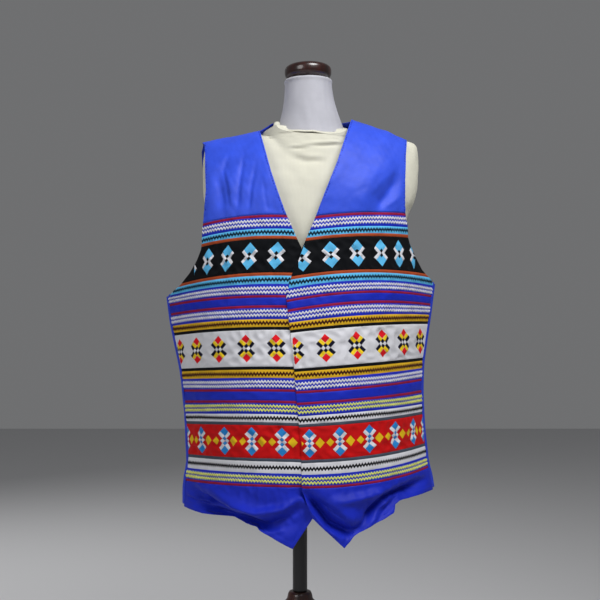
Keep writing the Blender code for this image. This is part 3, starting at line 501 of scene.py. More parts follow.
def stitch_dimples(side, x, z):
    """Small dents where the picked stitches pull the edges of the yoke in."""
    wave = 0.5 + 0.5 * np.cos(2 * math.pi * DIMPLE_STRETCH * z / STITCH_STEP)
    inset = np.minimum(np.abs(x - CENTRE_X[side](z)), np.abs(x - outer_x(side, z)))
    near = np.exp(-(((inset - STITCH_INSET) / DIMPLE_REACH) ** 2))
    return -DIMPLE_DEPTH * near * wave * (z > LEVEL_TOP_Z[side])


def frame_at(point, w, nearest, turn=1, step=0.0005):
    """Points and outward normals of a smooth form, given as a function of x and the place down its dome."""
    near = np.maximum(w, nearest)
    across = point(step, near) - point(-step, near)
    down = point(0, near + step) - point(0, near - step)
    return point(0, w), unit(np.cross(across, down)) * turn


def front_frame(side, x, z):
    w = np.maximum(dome_place(shoulder_z(side, x), FRONT_DOME, z), 0.0)
    return frame_at(lambda shift, place: front_point(side, x + shift, place), w, 0.03, -1)


def front_surface(side, x, z, lift=0.0):
    x, z = np.broadcast_arrays(np.asarray(x, float), np.asarray(z, float))
    points, normals = front_frame(side, x, z)
    height = relief(side, x, z) + lift
    return points + normals * height[..., None], normals


def meet(edge, height_at, start=0.0):
    """Where a level meets an edge of the front."""
    x = edge(height_at(start))
    for _ in range(FRONT_MEET_STEPS):
        x = x + MEET_SHARE * (edge(height_at(x)) - x)
    return x


def arc_table(side, v):
    """x along a level, and the distance along the cloth from x = 0."""
    edges = CENTRE_X[side], lambda z: outer_x(side, z)
    start, end = (meet(edge, lambda x: level_z(side, v, x)) for edge in edges)
    x = np.linspace(start, end, ARC_SAMPLES)
    length = lengths_along(front_frame(side, x, level_z(side, v, x))[0])
    zero = np.interp(0.0, x * SIGN[side], length) if start * SIGN[side] < 0 else -abs(start)
    return x, length - zero


def turned_edge(points, normals, uv, axis, last, allowance=HEM_ALLOWANCE, radius=TURN_RADIUS):
    """Adds rows or columns of points that turn the cloth under at an edge, as a hem does."""
    way = -1 if last else 1
    points, normals, uv = (np.moveaxis(part, axis, 0)[::way] for part in (points, normals, uv))
    edge, normal = points[0], normals[0]
    outward = unit(edge - points[1])
    turns = [edge + radius * (outward * math.sin(a) + normal * (math.cos(a) - 1)) for a in TURN_ANGLES]
    turns.append(turns[-1] - outward * allowance)
    points = np.concatenate([np.array(turns)[::-1], points])
    normals, uv = (np.concatenate([np.repeat(part[:1], len(turns), 0), part]) for part in (normals, uv))
    return tuple(np.moveaxis(part[::way], 0, axis) for part in (points, normals, uv))


def back_turn(z):
    """The small arc that joins the front's curve to the back's at the side, at each height."""
    edge = SECTIONS["half_width"](z) - SIDE_TURN_INSET
    centre_x = SECTIONS["centre_x"](z)
    step = 0.001
    start_y = front_depth(centre_x + edge, z)
    angle = np.arctan((start_y - front_depth(centre_x + edge - step, z)) / step)
    arc_x = edge - SIDE_TURN_RADIUS * np.sin(angle)
    arc_y = start_y + SIDE_TURN_RADIUS * np.cos(angle)
    return edge, arc_x, arc_y, angle - QUARTER


def back_edge(z):
    _, arc_x, arc_y, _ = back_turn(z)
    across, back = SIDE_TURN_RADIUS * math.cos(SIDE_TURN_END), SIDE_TURN_RADIUS * math.sin(SIDE_TURN_END)
    return arc_x + across, arc_y + back


def back_wrap(z, sign, wrap):
    """Points and normals of the back's edge that comes round each side seam."""
    edge, arc_x, arc_y, start_angle = back_turn(z)
    angle = SIDE_TURN_END + (start_angle - SIDE_TURN_END) * np.minimum(wrap / WRAP_ARC_SHARE, 1)
    past = np.maximum((wrap - WRAP_ARC_SHARE) / (1 - WRAP_ARC_SHARE), 0)
    flat_x = edge + (SECTIONS["half_width"](z) - SEAM_FORWARD - edge) * past
    on_arc = wrap <= WRAP_ARC_SHARE
    centre_x = SECTIONS["centre_x"](z)
    x = np.where(on_arc, arc_x + SIDE_TURN_RADIUS * np.cos(angle), flat_x)
    y = np.where(on_arc, arc_y + SIDE_TURN_RADIUS * np.sin(angle), front_depth(centre_x + flat_x, z))
    normals = np.stack([sign * np.cos(angle), np.sin(angle), 0 * z], -1)
    return np.stack([centre_x + sign * x, y, z], -1), normals


def back_point(x, w):
    z = dome_height(back_crest_z(x), BACK_DOME, w)
    edge_x, edge_y = back_edge(z)
    across = np.abs(x - SECTIONS["centre_x"](z)) / edge_x
    back_y = SECTIONS["back_y"](z)
    y = back_y - (back_y - edge_y) * across**RING_POWER
    return np.stack([x, y * np.maximum(np.sin(np.minimum(w, QUARTER)), 0), z], -1)


def back_frame(x, z):
    w = np.maximum(dome_place(back_crest_z(x), BACK_DOME, z), 0.0)
    return frame_at(lambda shift, place: back_point(x + shift, place), w, 0.01)


def back_reach(side, z):
    whole = back_edge(z)[0] + WRAP_LENGTH
    foot_z, foot_x = BACK_ARMHOLES[side][0]
    above = np.clip((z - UNDERARM_Z[side]) / (foot_z - UNDERARM_Z[side]), 0, 1)
    turning = whole - above * (whole - SIGN[side] * foot_x)
    armhole = SIGN[side] * (BACK_ARMHOLE_X[side](z) - SECTIONS["centre_x"](z))
    return np.where(z <= foot_z, turning, armhole)


def back_row(height_at, columns):
    """Points and normals of one row of the back, from the right side to the left one."""
    places = np.linspace(-1, 1, columns)
    sign = np.where(places < 0, -1.0, 1.0)
    reach = np.full(columns, 0.2)
    for _ in range(BACK_MEET_STEPS):
        z = height_at(sign * np.minimum(reach, BACK_HALF_WIDTH))
        aim = np.where(sign > 0, back_reach("left", z), back_reach("right", z))
        reach = reach + MEET_SHARE * (aim - reach)
    along = reach * np.sin(QUARTER * np.abs(places)) ** BACK_SPACING
    z = height_at(sign * np.minimum(along, BACK_HALF_WIDTH))
    edge_x, _ = back_edge(z)
    flat = back_frame(SECTIONS["centre_x"](z) + sign * np.minimum(along, edge_x), z)
    wrapped = back_wrap(z, sign, np.clip((along - edge_x) / WRAP_LENGTH, 0, 1))
    return tuple(np.where((along > edge_x)[:, None], b, a) for a, b in zip(flat, wrapped))


def across_level(heights, x):
    left, right = heights["left"], heights["right"]
    return right + (left - right) * (x + BACK_HALF_WIDTH) / (2 * BACK_HALF_WIDTH)


def back_grid(columns=131, dome_rows=30, armhole_rows=34, body_rows=92):
    def dome_level(x, share):
        w = neck_drop(x) + (QUARTER - neck_drop(x)) * share
        return dome_height(back_crest_z(x), BACK_DOME, w)

    def armhole_level(x, share):
        top = dome_level(x, 1.0)
        return top + (across_level(UNDERARM_Z, x) - top) * share

    def body_level(x, share):
        top = across_level(UNDERARM_Z, x)
        return top + (across_level(BACK_HEM_Z, x) + BACK_HEM_RISE - top) * share

    levels = [(dome_level, r / dome_rows) for r in range(dome_rows)]
    levels += [(armhole_level, r / armhole_rows) for r in range(armhole_rows + 1)]
    levels += [(body_level, r / body_rows) for r in range(1, body_rows + 1)]
    rows = [back_row(lambda x: level(x, share), columns) for level, share in levels]
    return tuple(np.array(part) for part in zip(*rows))


# Colours as seen, in screen values from 0 to 255
COLOURS = {
    # The back's blue is the cloth of royal_blue made darker: painted shade on the back
    # The darkest blue is the cloth of royal_blue made darker: painted shade on the lower panels, the plain
    # strips and the rows between the braids
    "royal_blue": (47, 81, 219), "back_blue": (32, 60, 204), "deep_blue": (18, 40, 186),
    "maroon": (146, 22, 62), "light_blue": (96, 190, 240), "rust": (170, 72, 34), "gold": (226, 178, 36),
    "soft_black": (12, 14, 18), "white": (222, 222, 228), "grey": (70, 78, 92), "deep_red": (200, 8, 12),
    "patch_red": (226, 18, 32), "patch_yellow": (242, 206, 34), "patch_gold": (230, 188, 24),
    "patch_blue": (40, 132, 206), "patch_navy": (12, 12, 40), "dark_teal": (0, 38, 56),
    "dark_brown": (64, 22, 6), "yellow_green": (222, 226, 110), "stitch_thread": (20, 34, 150),
    "cream": (214, 212, 196), "neck_grey": (184, 184, 192),
}
DARK_WOOD, LIGHT_WOOD = (26, 10, 7), (66, 26, 16)


def linear(screen, factor=1.0):
    """Linear colour with full opacity from screen values, made lighter or darker by a factor."""
    colour = ((c / 255 / 12.92) if c <= 10 else ((c / 255 + 0.055) / 1.055) ** 2.4 for c in screen)
    return (*(min(c * factor, 1.0) for c in colour), 1)


def new_material(name):
    material = bpy.data.materials.new(name)
    material.use_nodes = True
    return material, material.node_tree, material.node_tree.nodes["Principled BSDF"]


def set_inputs(node, inputs):
    """Links or sets the inputs of a node."""
    for key, value in dict(inputs).items():
        if isinstance(value, bpy.types.NodeSocket):
            node.id_data.links.new(value, node.inputs[key])
        else:
            node.inputs[key].default_value = value


def add_node(tree, kind, inputs=(), **settings):
    node = tree.nodes.new("ShaderNode" + kind)
    for key, value in settings.items():
        setattr(node, key, value)
    set_inputs(node, inputs)
    return node


def colour_ramp(tree, fac, low, high, places=(0.0, 1.0)):
    ramp = add_node(tree, "ValToRGB", {"Fac": fac})
    for element, colour, place in zip(ramp.color_ramp.elements, (low, high), places):
        element.position = place
        element.color = colour
    return ramp.outputs["Color"]


def between(tree, value, low, high):
    return add_node(tree, "MapRange", {"Value": value, "To Min": low, "To Max": high}).outputs["Result"]


def bump_normal(tree, height, strength, distance):
    bump = add_node(tree, "Bump", {"Height": height, "Strength": strength, "Distance": distance})
    return bump.outputs["Normal"]


def cloth_material(name, screen, thread=0.00075, rough=0.72, bump=0.35, mottle=0.10, gloss=0.15):
    """Plain woven cotton: crossing threads with painted shade in the gaps between them, uneven slubs, soft
    mottling and a light sheen.
    """
    material, tree, shader = new_material(name)
    uv = add_node(tree, "UVMap", uv_map="cloth").outputs["UV"]
    waves = {"Vector": uv, "Scale": 1 / thread / 6.3, "Distortion": 0.6, "Detail": 1.0, "Detail Scale": 2.0}
    warp, weft = (add_node(tree, "TexWave", waves, bands_direction=way).outputs["Fac"] for way in "XY")
    weave = add_node(tree, "Math", {0: warp, 1: weft}, operation="MULTIPLY").outputs[0]
    slub_place = add_node(tree, "Mapping", {"Vector": uv, "Scale": (60, 900, 1)}).outputs["Vector"]
    slub = add_node(tree, "TexNoise", {"Vector": slub_place, "Scale": 1.0, "Detail": 2.0}).outputs["Fac"]
    cloud = add_node(tree, "TexNoise", {"Vector": uv, "Scale": 38.0, "Detail": 3.0}).outputs["Fac"]
    tone = colour_ramp(tree, cloud, linear(screen, 1 - mottle), linear(screen, 1 + mottle), (0.3, 0.7))
    mix = {"data_type": "RGBA", "blend_type": "MIX"}
    # Painted shade between the threads: where the weave is low, the colour is mixed 22 % towards a darker
    # copy of itself
    dark = add_node(tree, "Mix", {"Factor": 0.22, 6: tone, 7: linear(screen, 0.35)}, **mix).outputs[2]
    threads = add_node(tree, "Mix", {"Factor": weave, 6: dark, 7: tone}, **mix).outputs[2]
    height = add_node(tree, "Math", {0: slub, 1: 0.6, 2: weave}, operation="MULTIPLY_ADD").outputs[0]
    set_inputs(shader, {
        "Base Color": threads, "Normal": bump_normal(tree, height, bump, 0.0003),
        "Roughness": between(tree, slub, rough - 0.08, rough + 0.08), "Sheen Weight": 0.03,
        "Sheen Roughness": 0.45, "Specular IOR Level": gloss,
    })
    material.diffuse_color = linear(screen)
    return material


def wood_material(name, dark, light, rough, coat=0.4, grain_scale=(90, 90, 7)):
    material, tree, shader = new_material(name)
    place = add_node(tree, "TexCoord").outputs["Object"]
    stretch = add_node(tree, "Mapping", {"Vector": place, "Scale": grain_scale}).outputs["Vector"]
    grain = add_node(tree, "TexNoise", {"Vector": stretch, "Scale": 1.0, "Detail": 5.0, "Roughness": 0.6,
                                        "Distortion": 0.6}).outputs["Fac"]
    set_inputs(shader, {
        "Base Color": colour_ramp(tree, grain, linear(dark), linear(light), (0.32, 0.70)),
        "Normal": bump_normal(tree, grain, 0.08, 0.0004), "Roughness": rough, "Coat Weight": coat,
        "Coat Roughness": 0.11,
    })
    return material


def paint_material(name, screen, rough):
    material, tree, shader = new_material(name)
    place = add_node(tree, "TexCoord").outputs["Object"]
    wear = add_node(tree, "TexNoise", {"Vector": place, "Scale": 60.0, "Detail": 4.0}).outputs["Fac"]
    set_inputs(shader, {
        "Base Color": colour_ramp(tree, wear, linear(screen, 0.8), linear(screen, 1.3)),
        "Normal": bump_normal(tree, wear, 0.05, 0.0003),
        "Roughness": between(tree, wear, rough - 0.08, rough + 0.12), "Specular IOR Level": 0.5,
    })
    return material


CLOTH_SETTINGS = {
    "royal_blue": {"rough": 0.52, "gloss": 0.30},
    "deep_blue": {"rough": 0.56, "gloss": 0.22},
    "back_blue": {"rough": 0.54, "gloss": 0.26},
    "white": {"mottle": 0.04},
    "soft_black": {"name": "black_cotton", "rough": 0.8, "gloss": 0.10},
    "cream": {"name": "cream_jersey_knit", "thread": 0.0011, "rough": 0.85, "mottle": 0.03, "bump": 0.10},
    "neck_grey": {"name": "grey_neck_cloth", "thread": 0.0009, "rough": 0.8, "mottle": 0.05},
}
MATERIALS = {}
for colour_name, screen_colour in COLOURS.items():
    settings = {"name": colour_name + "_cotton", **CLOTH_SETTINGS.get(colour_name, {})}
    MATERIALS[colour_name] = cloth_material(screen=screen_colour, **settings)
for colour_name in sorted({name for band in BANDS for name in (band.broad, band.thin)}):
    MATERIALS["braid_" + colour_name] = cloth_material(colour_name + "_braid", COLOURS[colour_name],
                                                       thread=0.0010, bump=0.6)
MATERIALS["cap_wood"] = wood_material("cap_wood_polished", (20, 5, 3), (52, 13, 6), 0.30, 0.6)
MATERIALS["dark_wood"] = wood_material("dark_wood_stand", DARK_WOOD, LIGHT_WOOD, 0.32)
MATERIALS["leg_wood"] = wood_material("dark_wood_legs", DARK_WOOD, LIGHT_WOOD, 0.34, grain_scale=(7, 90, 90))
MATERIALS["black_paint"] = paint_material("black_painted_pole", (22, 21, 22), 0.38)


def grid_faces(rows, columns, flip, start=0, wrap=False):
    r, c = np.meshgrid(np.arange(rows - 1), np.arange(columns if wrap else columns - 1), indexing="ij")
    here, right = start + r * columns + c, start + r * columns + (c + 1) % columns
    faces = np.stack([here, right, right + columns, here + columns], -1).reshape(-1, 4)
    return (faces[:, ::-1] if flip else faces).tolist()


def build_piece(name, points, faces, uv, colours, smooth_angle=0, cut_off=False):
    """A piece of the dressed part, with one material for all its faces or one for each."""
    mesh = bpy.data.meshes.new(name)
    mesh.from_pydata(np.reshape(points, (-1, 3)).tolist(), [], faces)
    layer = mesh.uv_layers.new(name="cloth")
    loops = np.empty(len(mesh.loops), dtype=np.int32)
    mesh.loops.foreach_get("vertex_index", loops)
    layer.data.foreach_set("uv", np.reshape(uv, (-1, 2))[loops].ravel())
    names = list(dict.fromkeys(colours))
    if len(colours) > 1:
        mesh.polygons.foreach_set("material_index", [names.index(colour) for colour in colours])
    if cut_off:
        tidy_mesh(mesh)
    for colour in names:
        mesh.materials.append(MATERIALS[colour])
    mesh.shade_smooth()
    if smooth_angle:
        mesh.set_sharp_from_angle(angle=math.radians(smooth_angle))
    obj = bpy.data.objects.new(name, mesh)
    bpy.context.scene.collection.objects.link(obj)
    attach(obj, "root")
    return obj


def tidy_mesh(mesh):
    """Takes out loose points and faces without area, left where a patch is cut off at an edge."""
    work = bmesh.new()
    work.from_mesh(mesh)
    bmesh.ops.dissolve_degenerate(work, dist=1e-6, edges=work.edges)
    bmesh.ops.delete(work, geom=[v for v in work.verts if not v.link_faces], context="VERTS")
    work.to_mesh(mesh)
    work.free()


def cloth_shell(name, points, uv, row_colours, flip):
    """A thin sheet of cloth from a grid of points, with a material for each row of faces."""
    rows, columns = points.shape[:2]
    colours = [colour for colour in row_colours for _ in range(columns - 1)]
    obj = build_piece(name, points, grid_faces(rows, columns, flip), uv, colours)
    solid = obj.modifiers.new("Cloth", "SOLIDIFY")
    solid.thickness = CLOTH
    solid.offset = -1
    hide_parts(name.replace("cloth_", ""))
    return obj, points


def band_segments(band):
    """The strips above, within and below the patches, each a list of (start level, end level, colour)."""
    top, patch_top, patch_bottom, bottom = band_levels(band)
    # The blue rows between the braids are in the darkest blue: painted shade
    above = [(top - TAPE_HALF, top + TAPE_HALF, "maroon"), (top + TAPE_HALF, top + TRIM_ROWS, "deep_blue"),
             (top + TRIM_ROWS, patch_top - NARROW_STRIP, band.accent),
             (patch_top - NARROW_STRIP, patch_top, band.narrow)]
    below = [(patch_bottom, patch_bottom + NARROW_STRIP, band.narrow),
             (patch_bottom + NARROW_STRIP, bottom - TRIM_ROWS, band.accent),
             (bottom - TRIM_ROWS, bottom - TAPE_HALF, "deep_blue"),
             (bottom - TAPE_HALF, bottom + TAPE_HALF, "maroon")]
    return above, [(patch_top, patch_bottom, band.field)], below


SEAMS = np.array([level for band in BANDS for strip in band_segments(band)[::2]
                  for level in [strip[0][0]] + [segment[1] for segment in strip]])


def seam_relief(v):
    """A dip along each seam of the piecing."""
    dip = np.exp(-(((v[..., None] - SEAMS) / SEAM_DIP_REACH) ** 2)).sum(-1)
    return -SEAM_DIP * np.minimum(dip, 1)


def rows_between(start, end):
    """Levels across a strip, closer together beside its seams."""
    inner = ROWS_BESIDE_SEAM
    middle_start, middle_end = start + inner[-1], end - inner[-1]
    if middle_end <= middle_start:
        return np.linspace(start, end, 7)
    count = max(2, int(round((middle_end - middle_start) / ROW_STEP)) + 1)
    middle = np.linspace(middle_start, middle_end, count)
    return np.concatenate([[start], start + inner[:-1], middle, end - inner[-2::-1], [end]])


def front_shell(name, side, rows, colours, hem=False, crest=False):
    """A sheet of a front from rows of (x, z, lift, u, v), with its free edges turned under."""
    x, z, lift, u, v = (np.array(np.broadcast_arrays(*column)) for column in zip(*rows))
    points, normals = front_surface(side, x, z, lift)
    if crest:
        points[0, :, 1] = 0.0
    armhole = points[..., 2].max() > UNDERARM_Z[side]
    sheet = turned_edge(points, normals, np.stack([u, v], -1), 1, False)
    if armhole:
        sheet = turned_edge(*sheet, 1, True)
    if hem:
        sheet = turned_edge(*sheet, 0, True)
    points, _, uv = sheet
    colours = colours + [colours[-1]] * (len(points) - 1 - len(colours))
    return cloth_shell(name, points, uv, colours, side == "left")


def strip_shell(name, side, segments, columns, slot):
    """A strip of the piecing. Segments are (start level, end level, colour)."""
    levels, colours = [], []
    for start, end, colour in segments:
        between_seams = rows_between(start, end)
        levels += list(between_seams if not levels else between_seams[1:])
        colours += [colour] * (len(between_seams) - 1)
    rows = []
    for v in levels:
        x_line, arc_line = arc_table(side, v)
        arcs = np.linspace(arc_line[0], arc_line[-1], columns)
        x = np.interp(arcs, arc_line, x_line)
        level = np.full(columns, v)
        rows.append((x, level_z(side, v, x), seam_relief(level), arcs, -level))
    return front_shell(name, side, rows, colours)


def yoke_shell(side, columns=COLUMNS, count=66):
    seam = SHOULDERS[side]
    rows = []
    for r in range(count + 1):
        share = r / count

        def height_at(x):
            crest = shoulder_z(side, x)
            bottom = dome_place(crest, FRONT_DOME, level_z(side, SEAMS[0], x))
            return dome_height(crest, FRONT_DOME, bottom * share)

        start = meet(CENTRE_X[side], height_at, seam.neck_x) if r else seam.neck_x
        end = meet(lambda z: outer_x(side, z), height_at, seam.tip_x) if r else seam.tip_x
        x = np.linspace(start, end, columns)
        z = height_at(x)
        dip = -SEAM_DIP * np.exp(-(((1 - share) * count * YOKE_ROW_STEP / SEAM_DIP_REACH) ** 2))
        rows.append((x, z, np.full(columns, dip), np.abs(x), z))
    colours = ["royal_blue"] * count
    return front_shell(f"cloth_front_{side}_yoke", side, rows, colours, crest=True)


def hem_shell(side, columns=130, count=46):
    top_v, hem, corners = SEAMS[-1], HEM_Z[side], [x for x, _ in HEMS[side]]
    start, inner_corners = (corners[0], corners[1:4]) if side == "left" else (corners[-1], corners[3:6])
    end = float(meet(lambda z: outer_x(side, z), hem))
    places = np.sort(np.append(np.linspace(start, end, columns - 3), inner_corners))[::SIGN[side]]
    top_end = float(meet(lambda z: outer_x(side, z), lambda x: level_z(side, top_v, x)))
    share = ((places - start) / (end - start)) ** 3
    top_x = places + (top_end - end) * share
    top_z = level_z(side, top_v, top_x)
    rows = []
    for r in range(count + 1):
        down = r / count
        z = top_z + (hem(places) - top_z) * down
        bulge = outer_x(side, z) - (top_end + (end - top_end) * down)
        x = top_x + (places - top_x) * down + bulge * share
        dip = -SEAM_DIP * np.exp(-((down * (top_z - hem(places)) / SEAM_DIP_REACH) ** 2))
        turned_up = HEM_RIDGE * (1 - smooth_step(*HEM_RIDGE_HEIGHTS, z - hem(places)))
        rows.append((x, z, dip + turned_up, np.abs(x), z))
    # The hem panel is in the darkest blue: painted shade towards the bottom
    colours = ["deep_blue"] * count
    return front_shell(f"cloth_front_{side}_hem_panel", side, rows, colours, hem=True)


def build_fronts():
    shells = {}
    for side in ("right", "left"):
        shells[f"{side}_yoke"] = yoke_shell(side)
        previous = None
        for number, band in enumerate(BANDS):
            above, patch, below = band_segments(band)
            strips = [
                (f"{band.name}_trim_above", above, COLUMNS, "trimmed_strip"),
                (f"{band.name}_patch_band", patch, PATCH_BAND_COLUMNS, band.slot),
                (f"{band.name}_trim_below", below, COLUMNS, "trimmed_strip"),
            ]
            if previous is not None:
                # Plain strips are in the darkest blue: painted shade
                plain = [(previous, above[0][0], "deep_blue")]
                strips.insert(0, (f"plain_strip_{number}", plain, COLUMNS, "blue_cotton"))
            for name, *strip in strips:
                shells[f"{side}_{name}"] = strip_shell(f"cloth_front_{side}_{name}", side, *strip)
            previous = below[-1][1]
        shells[f"{side}_hem"] = hem_shell(side)
    return shells


def build_back():
    """The back with its soft folds: pulls from the shoulders, a hollow at the waist, slack over the hem."""
    points, normals = back_grid()
    x, z = points[..., 0], points[..., 2]
    fade = smooth_step(0.0, BACK_FADE, BACK_FADE_X - np.abs(x))
    height = (folds_height(BACK_FOLDS, x, z) + ripples_height(BACK_RIPPLES, x, z)) * fade
    height[0] = 0
    points = points + normals * height[..., None]
    for edge in (0, -1):
        below = points[:, edge, 2] < UNDERARM_Z["left" if edge else "right"] + 0.002
        points[:, edge] -= normals[:, edge] * (TURN_RADIUS * below)[:, None]
    across = lengths_along(points, 1)
    across -= across[:, across.shape[1] // 2, None]
    points, _, uv = turned_edge(points, normals, np.stack([across, points[..., 2]], -1), 0, True)
    # The back is in a darker copy of the front's blue: painted shade
    colours = ["back_blue"] * (len(points) - 1)
    return cloth_shell("cloth_back_panel", points, uv, colours, True)


# Zigzag braid, sewn on in rows
Braid = namedtuple("Braid", "half_width swing")
BROAD_BRAID, THIN_BRAID = Braid(0.0018, 0.0013), Braid(0.0023, 0.0015)
BROAD_PLACES = (0.0070, 0.0136)
BRAID_WAVE = 0.0054
BRAID_SAMPLES = 12
BRAID_TURN = 0.003
BRAID_DRIFT = 0.0004
BRAID_DRIFT_PACE = 32
BRAID_SWAY = 0.5
BRAID_SWAY_PACE = 55
BRAID_SHARPNESS = 0.10
BRAID_PROFILE = np.array(((-1.0, 0.00002), (-0.86, 0.00042), (-0.3, 0.00062), (0.3, 0.00062),
                          (0.86, 0.00042), (1.0, 0.00002)))


def braid_row(side, v, braid, seed):
    """Points and cloth places of one row of braid along a level, from the centre edge out to the side."""
    rng = np.random.default_rng(seed)
    x_line, arc_line = arc_table(side, v)
    count = int((arc_line[-1] - arc_line[0]) / BRAID_WAVE * BRAID_SAMPLES)
    arcs = np.linspace(arc_line[0], arc_line[-1], count)
    turns = arcs / BRAID_WAVE * 2 * math.pi + rng.uniform(0, 6)
    turns += BRAID_SWAY * np.sin(arcs * BRAID_SWAY_PACE + rng.uniform(0, 6))
    wave = braid.swing * (np.sin(turns) - BRAID_SHARPNESS * np.sin(3 * turns))
    drift = BRAID_DRIFT * np.sin(arcs * BRAID_DRIFT_PACE + rng.uniform(0, 6))
    x = np.interp(arcs, arc_line, x_line)[:, None]
    across, lift = BRAID_PROFILE.T
    levels = v + (wave + drift)[:, None] - braid.half_width * across[None, :]
    points, normals = front_surface(side, x + 0 * levels, level_z(side, levels, x), lift[None, :])
    uv = np.stack([arcs[:, None] + 0 * across, levels], -1)
    points, _, uv = turned_edge(points, normals, uv, 0, False, BRAID_TURN, TURN_RADIUS + 0.0004)
    return points, uv


def braid_piece(name, side, rows):
    """Several rows of braid as one piece. Each row is (level, braid, colour)."""
    start_seed = sum((i + 1) * ord(letter) for i, letter in enumerate(name))
    points, faces, uv, colours = [], [], [], []
    for number, (v, braid, colour) in enumerate(rows):
        row_points, row_uv = braid_row(side, v, braid, start_seed + number // 2)
        row_faces = grid_faces(*row_points.shape[:2], side == "right", sum(len(part) for part in points))
        points.append(row_points.reshape(-1, 3))
        uv.append(row_uv.reshape(-1, 2))
        faces += row_faces
        colours += ["braid_" + colour] * len(row_faces)
    return build_piece(name, np.concatenate(points), faces, np.concatenate(uv), colours)


# Patches of each band, charted on a lattice of squares on point, in diagonals of one small square, for
# the upper half of a motif. Each is repeated upside down below, and twins also at the other side
Patch = namedtuple("Patch", "colour across up width height twin", defaults=(1, 1, True))
Motif = namedtuple("Motif", "cell pitch patches")
MOTIFS = {
    "upper": Motif(0.00735, 0.0465, (
        Patch("light_blue", 0, 1.5, 3, 3), Patch("soft_black", 0, 0.5), Patch("white", 0.5, 0),
        Patch("white", 1, 0.5), Patch("white", 1.5, 1),
    )),
    "middle": Motif(0.0077, 0.0510, (
        Patch("patch_red", 0, 2, 1.85, 1.85), Patch("patch_yellow", 1, 1.5), Patch("patch_yellow", 0.5, 1),
        Patch("patch_navy", 1.5, 1), Patch("patch_navy", 1, 0.5), Patch("patch_navy", 0, 0.5),
        Patch("white", 0.5, 0),
    )),
    "lower": Motif(0.0077, 0.0494, (
        Patch("patch_blue", 0, 2, 2, 2), Patch("white", 1, 1.5), Patch("white", 0.5, 1),
        Patch("patch_blue", 0, 0.5, 0.9, 0.9), Patch("white", 0.5, 0),
        Patch("patch_gold", 2.2, 0, 2, 2.2, False), Patch("patch_gold", -2.03, 0, 1.7, 1.75, False),
    )),
}
# Where each motif's middle lies, along the band from x = 0 outwards, and how far motifs lean, in degrees
MOTIF_PLACES = {
    ("upper", "right"): metres((388, 840, 1238, 1635, 2000)),
    ("upper", "left"): metres((33, 505, 953, 1400, 1784, 2170)),
    ("middle", "right"): metres((383, 892, 1437, 2012, 2592)),
    ("middle", "left"): metres((-81, 412, 948, 1463, 1994, 2535)),
    ("lower", "right"): metres((291, 804, 1350, 1998, 2520)),
    ("lower", "left"): metres((154, 641, 1173, 1760, 2310, 2688)),
}
MOTIF_LEANS = {
    ("upper", "right"): 8.0, ("upper", "left"): -5.0, ("middle", "right"): -2.5, ("middle", "left"): -3.5,
    ("lower", "right"): -1.0, ("lower", "left"): -1.5,
}
PATCH_GRID = 6
PATCH_LIFT = 0.00018
PATCH_PUFF = 0.00035
PATCH_EDGE_INSETS = (0.0012, 0.0004)
ON_TOP_LIFT = 0.00035


def motif_patches(side, band):
    """The patches of a band as (across, up, width, height, colour), motif by motif."""
    cell, pitch, half = MOTIFS[band.name]
    patches = []
    for number in range(len(MOTIF_PLACES[(band.name, side)])):
        for patch in half:
            for across in (patch.across, -patch.across) if patch.across and patch.twin else (patch.across,):
                for mirror in (1, -1) if patch.up else (1,):
                    patches.append((number * pitch + SIGN[side] * across * cell, patch.up * mirror * cell,
                                    patch.width * cell, patch.height * cell, patch.colour))
    return patches


def patch_piece(side, band):
    """The small pieced patches of a band, each a little cushion of cloth between its seams."""
    pitch = MOTIFS[band.name].pitch
    places = np.array(MOTIF_PLACES[(band.name, side)])
    patches = motif_patches(side, band)
    s, t = np.meshgrid(*[np.linspace(0, 1, PATCH_GRID)] * 2, indexing="ij")
    across, up, width, height = (np.array([patch[i] for patch in patches])[:, None, None] for i in range(4))
    run = across + (s - t) * width / 2
    rise = up + (s + t - 1) * height / 2
    knots = np.arange(-1, len(places) + 1) * pitch
    ends = np.concatenate([[2 * places[0] - places[1]], places, [2 * places[-1] - places[-2]]])
    _, patch_top, _, _ = band_levels(band)
    middle = patch_top + band.patch / 2
    lean = math.tan(math.radians(MOTIF_LEANS[(band.name, side)]))
    arcs = np.interp(run + SIGN[side] * lean * rise, knots, ends)
    x_line, arc_line = arc_table(side, middle)
    x = np.interp(arcs, arc_line, x_line)
    v = middle - rise
    z = level_z(side, v, x)
    edges = CENTRE_X[side](z), outer_x(side, z)
    kept = np.clip(x, np.minimum(*edges) + PATCH_EDGE_INSETS[0], np.maximum(*edges) - PATCH_EDGE_INSETS[1])
    inside = np.abs(kept - x) < 1e-6
    lift = PATCH_LIFT + PATCH_PUFF * (1 - (2 * s - 1) ** 4) * (1 - (2 * t - 1) ** 4)
    on_top = np.array([any(abs(a[0] - b[0]) < 0.001 and b[2] > 2 * a[2] and abs(a[1] - b[1]) < b[3] / 2
                           for b in patches) for a in patches])
    points, _ = front_surface(side, kept, level_z(side, v, kept), lift + ON_TOP_LIFT * on_top[:, None, None])
    faces, colours = [], []
    for number, patch in enumerate(patches):
        if inside[number].any():
            face = grid_faces(PATCH_GRID, PATCH_GRID, side == "right", number * PATCH_GRID * PATCH_GRID)
            faces += face
            colours += [patch[4]] * len(face)
    return build_piece(f"patches_{side}_{band.name}", points, faces, np.stack([arcs, -v], -1), colours,
                       cut_off=True)


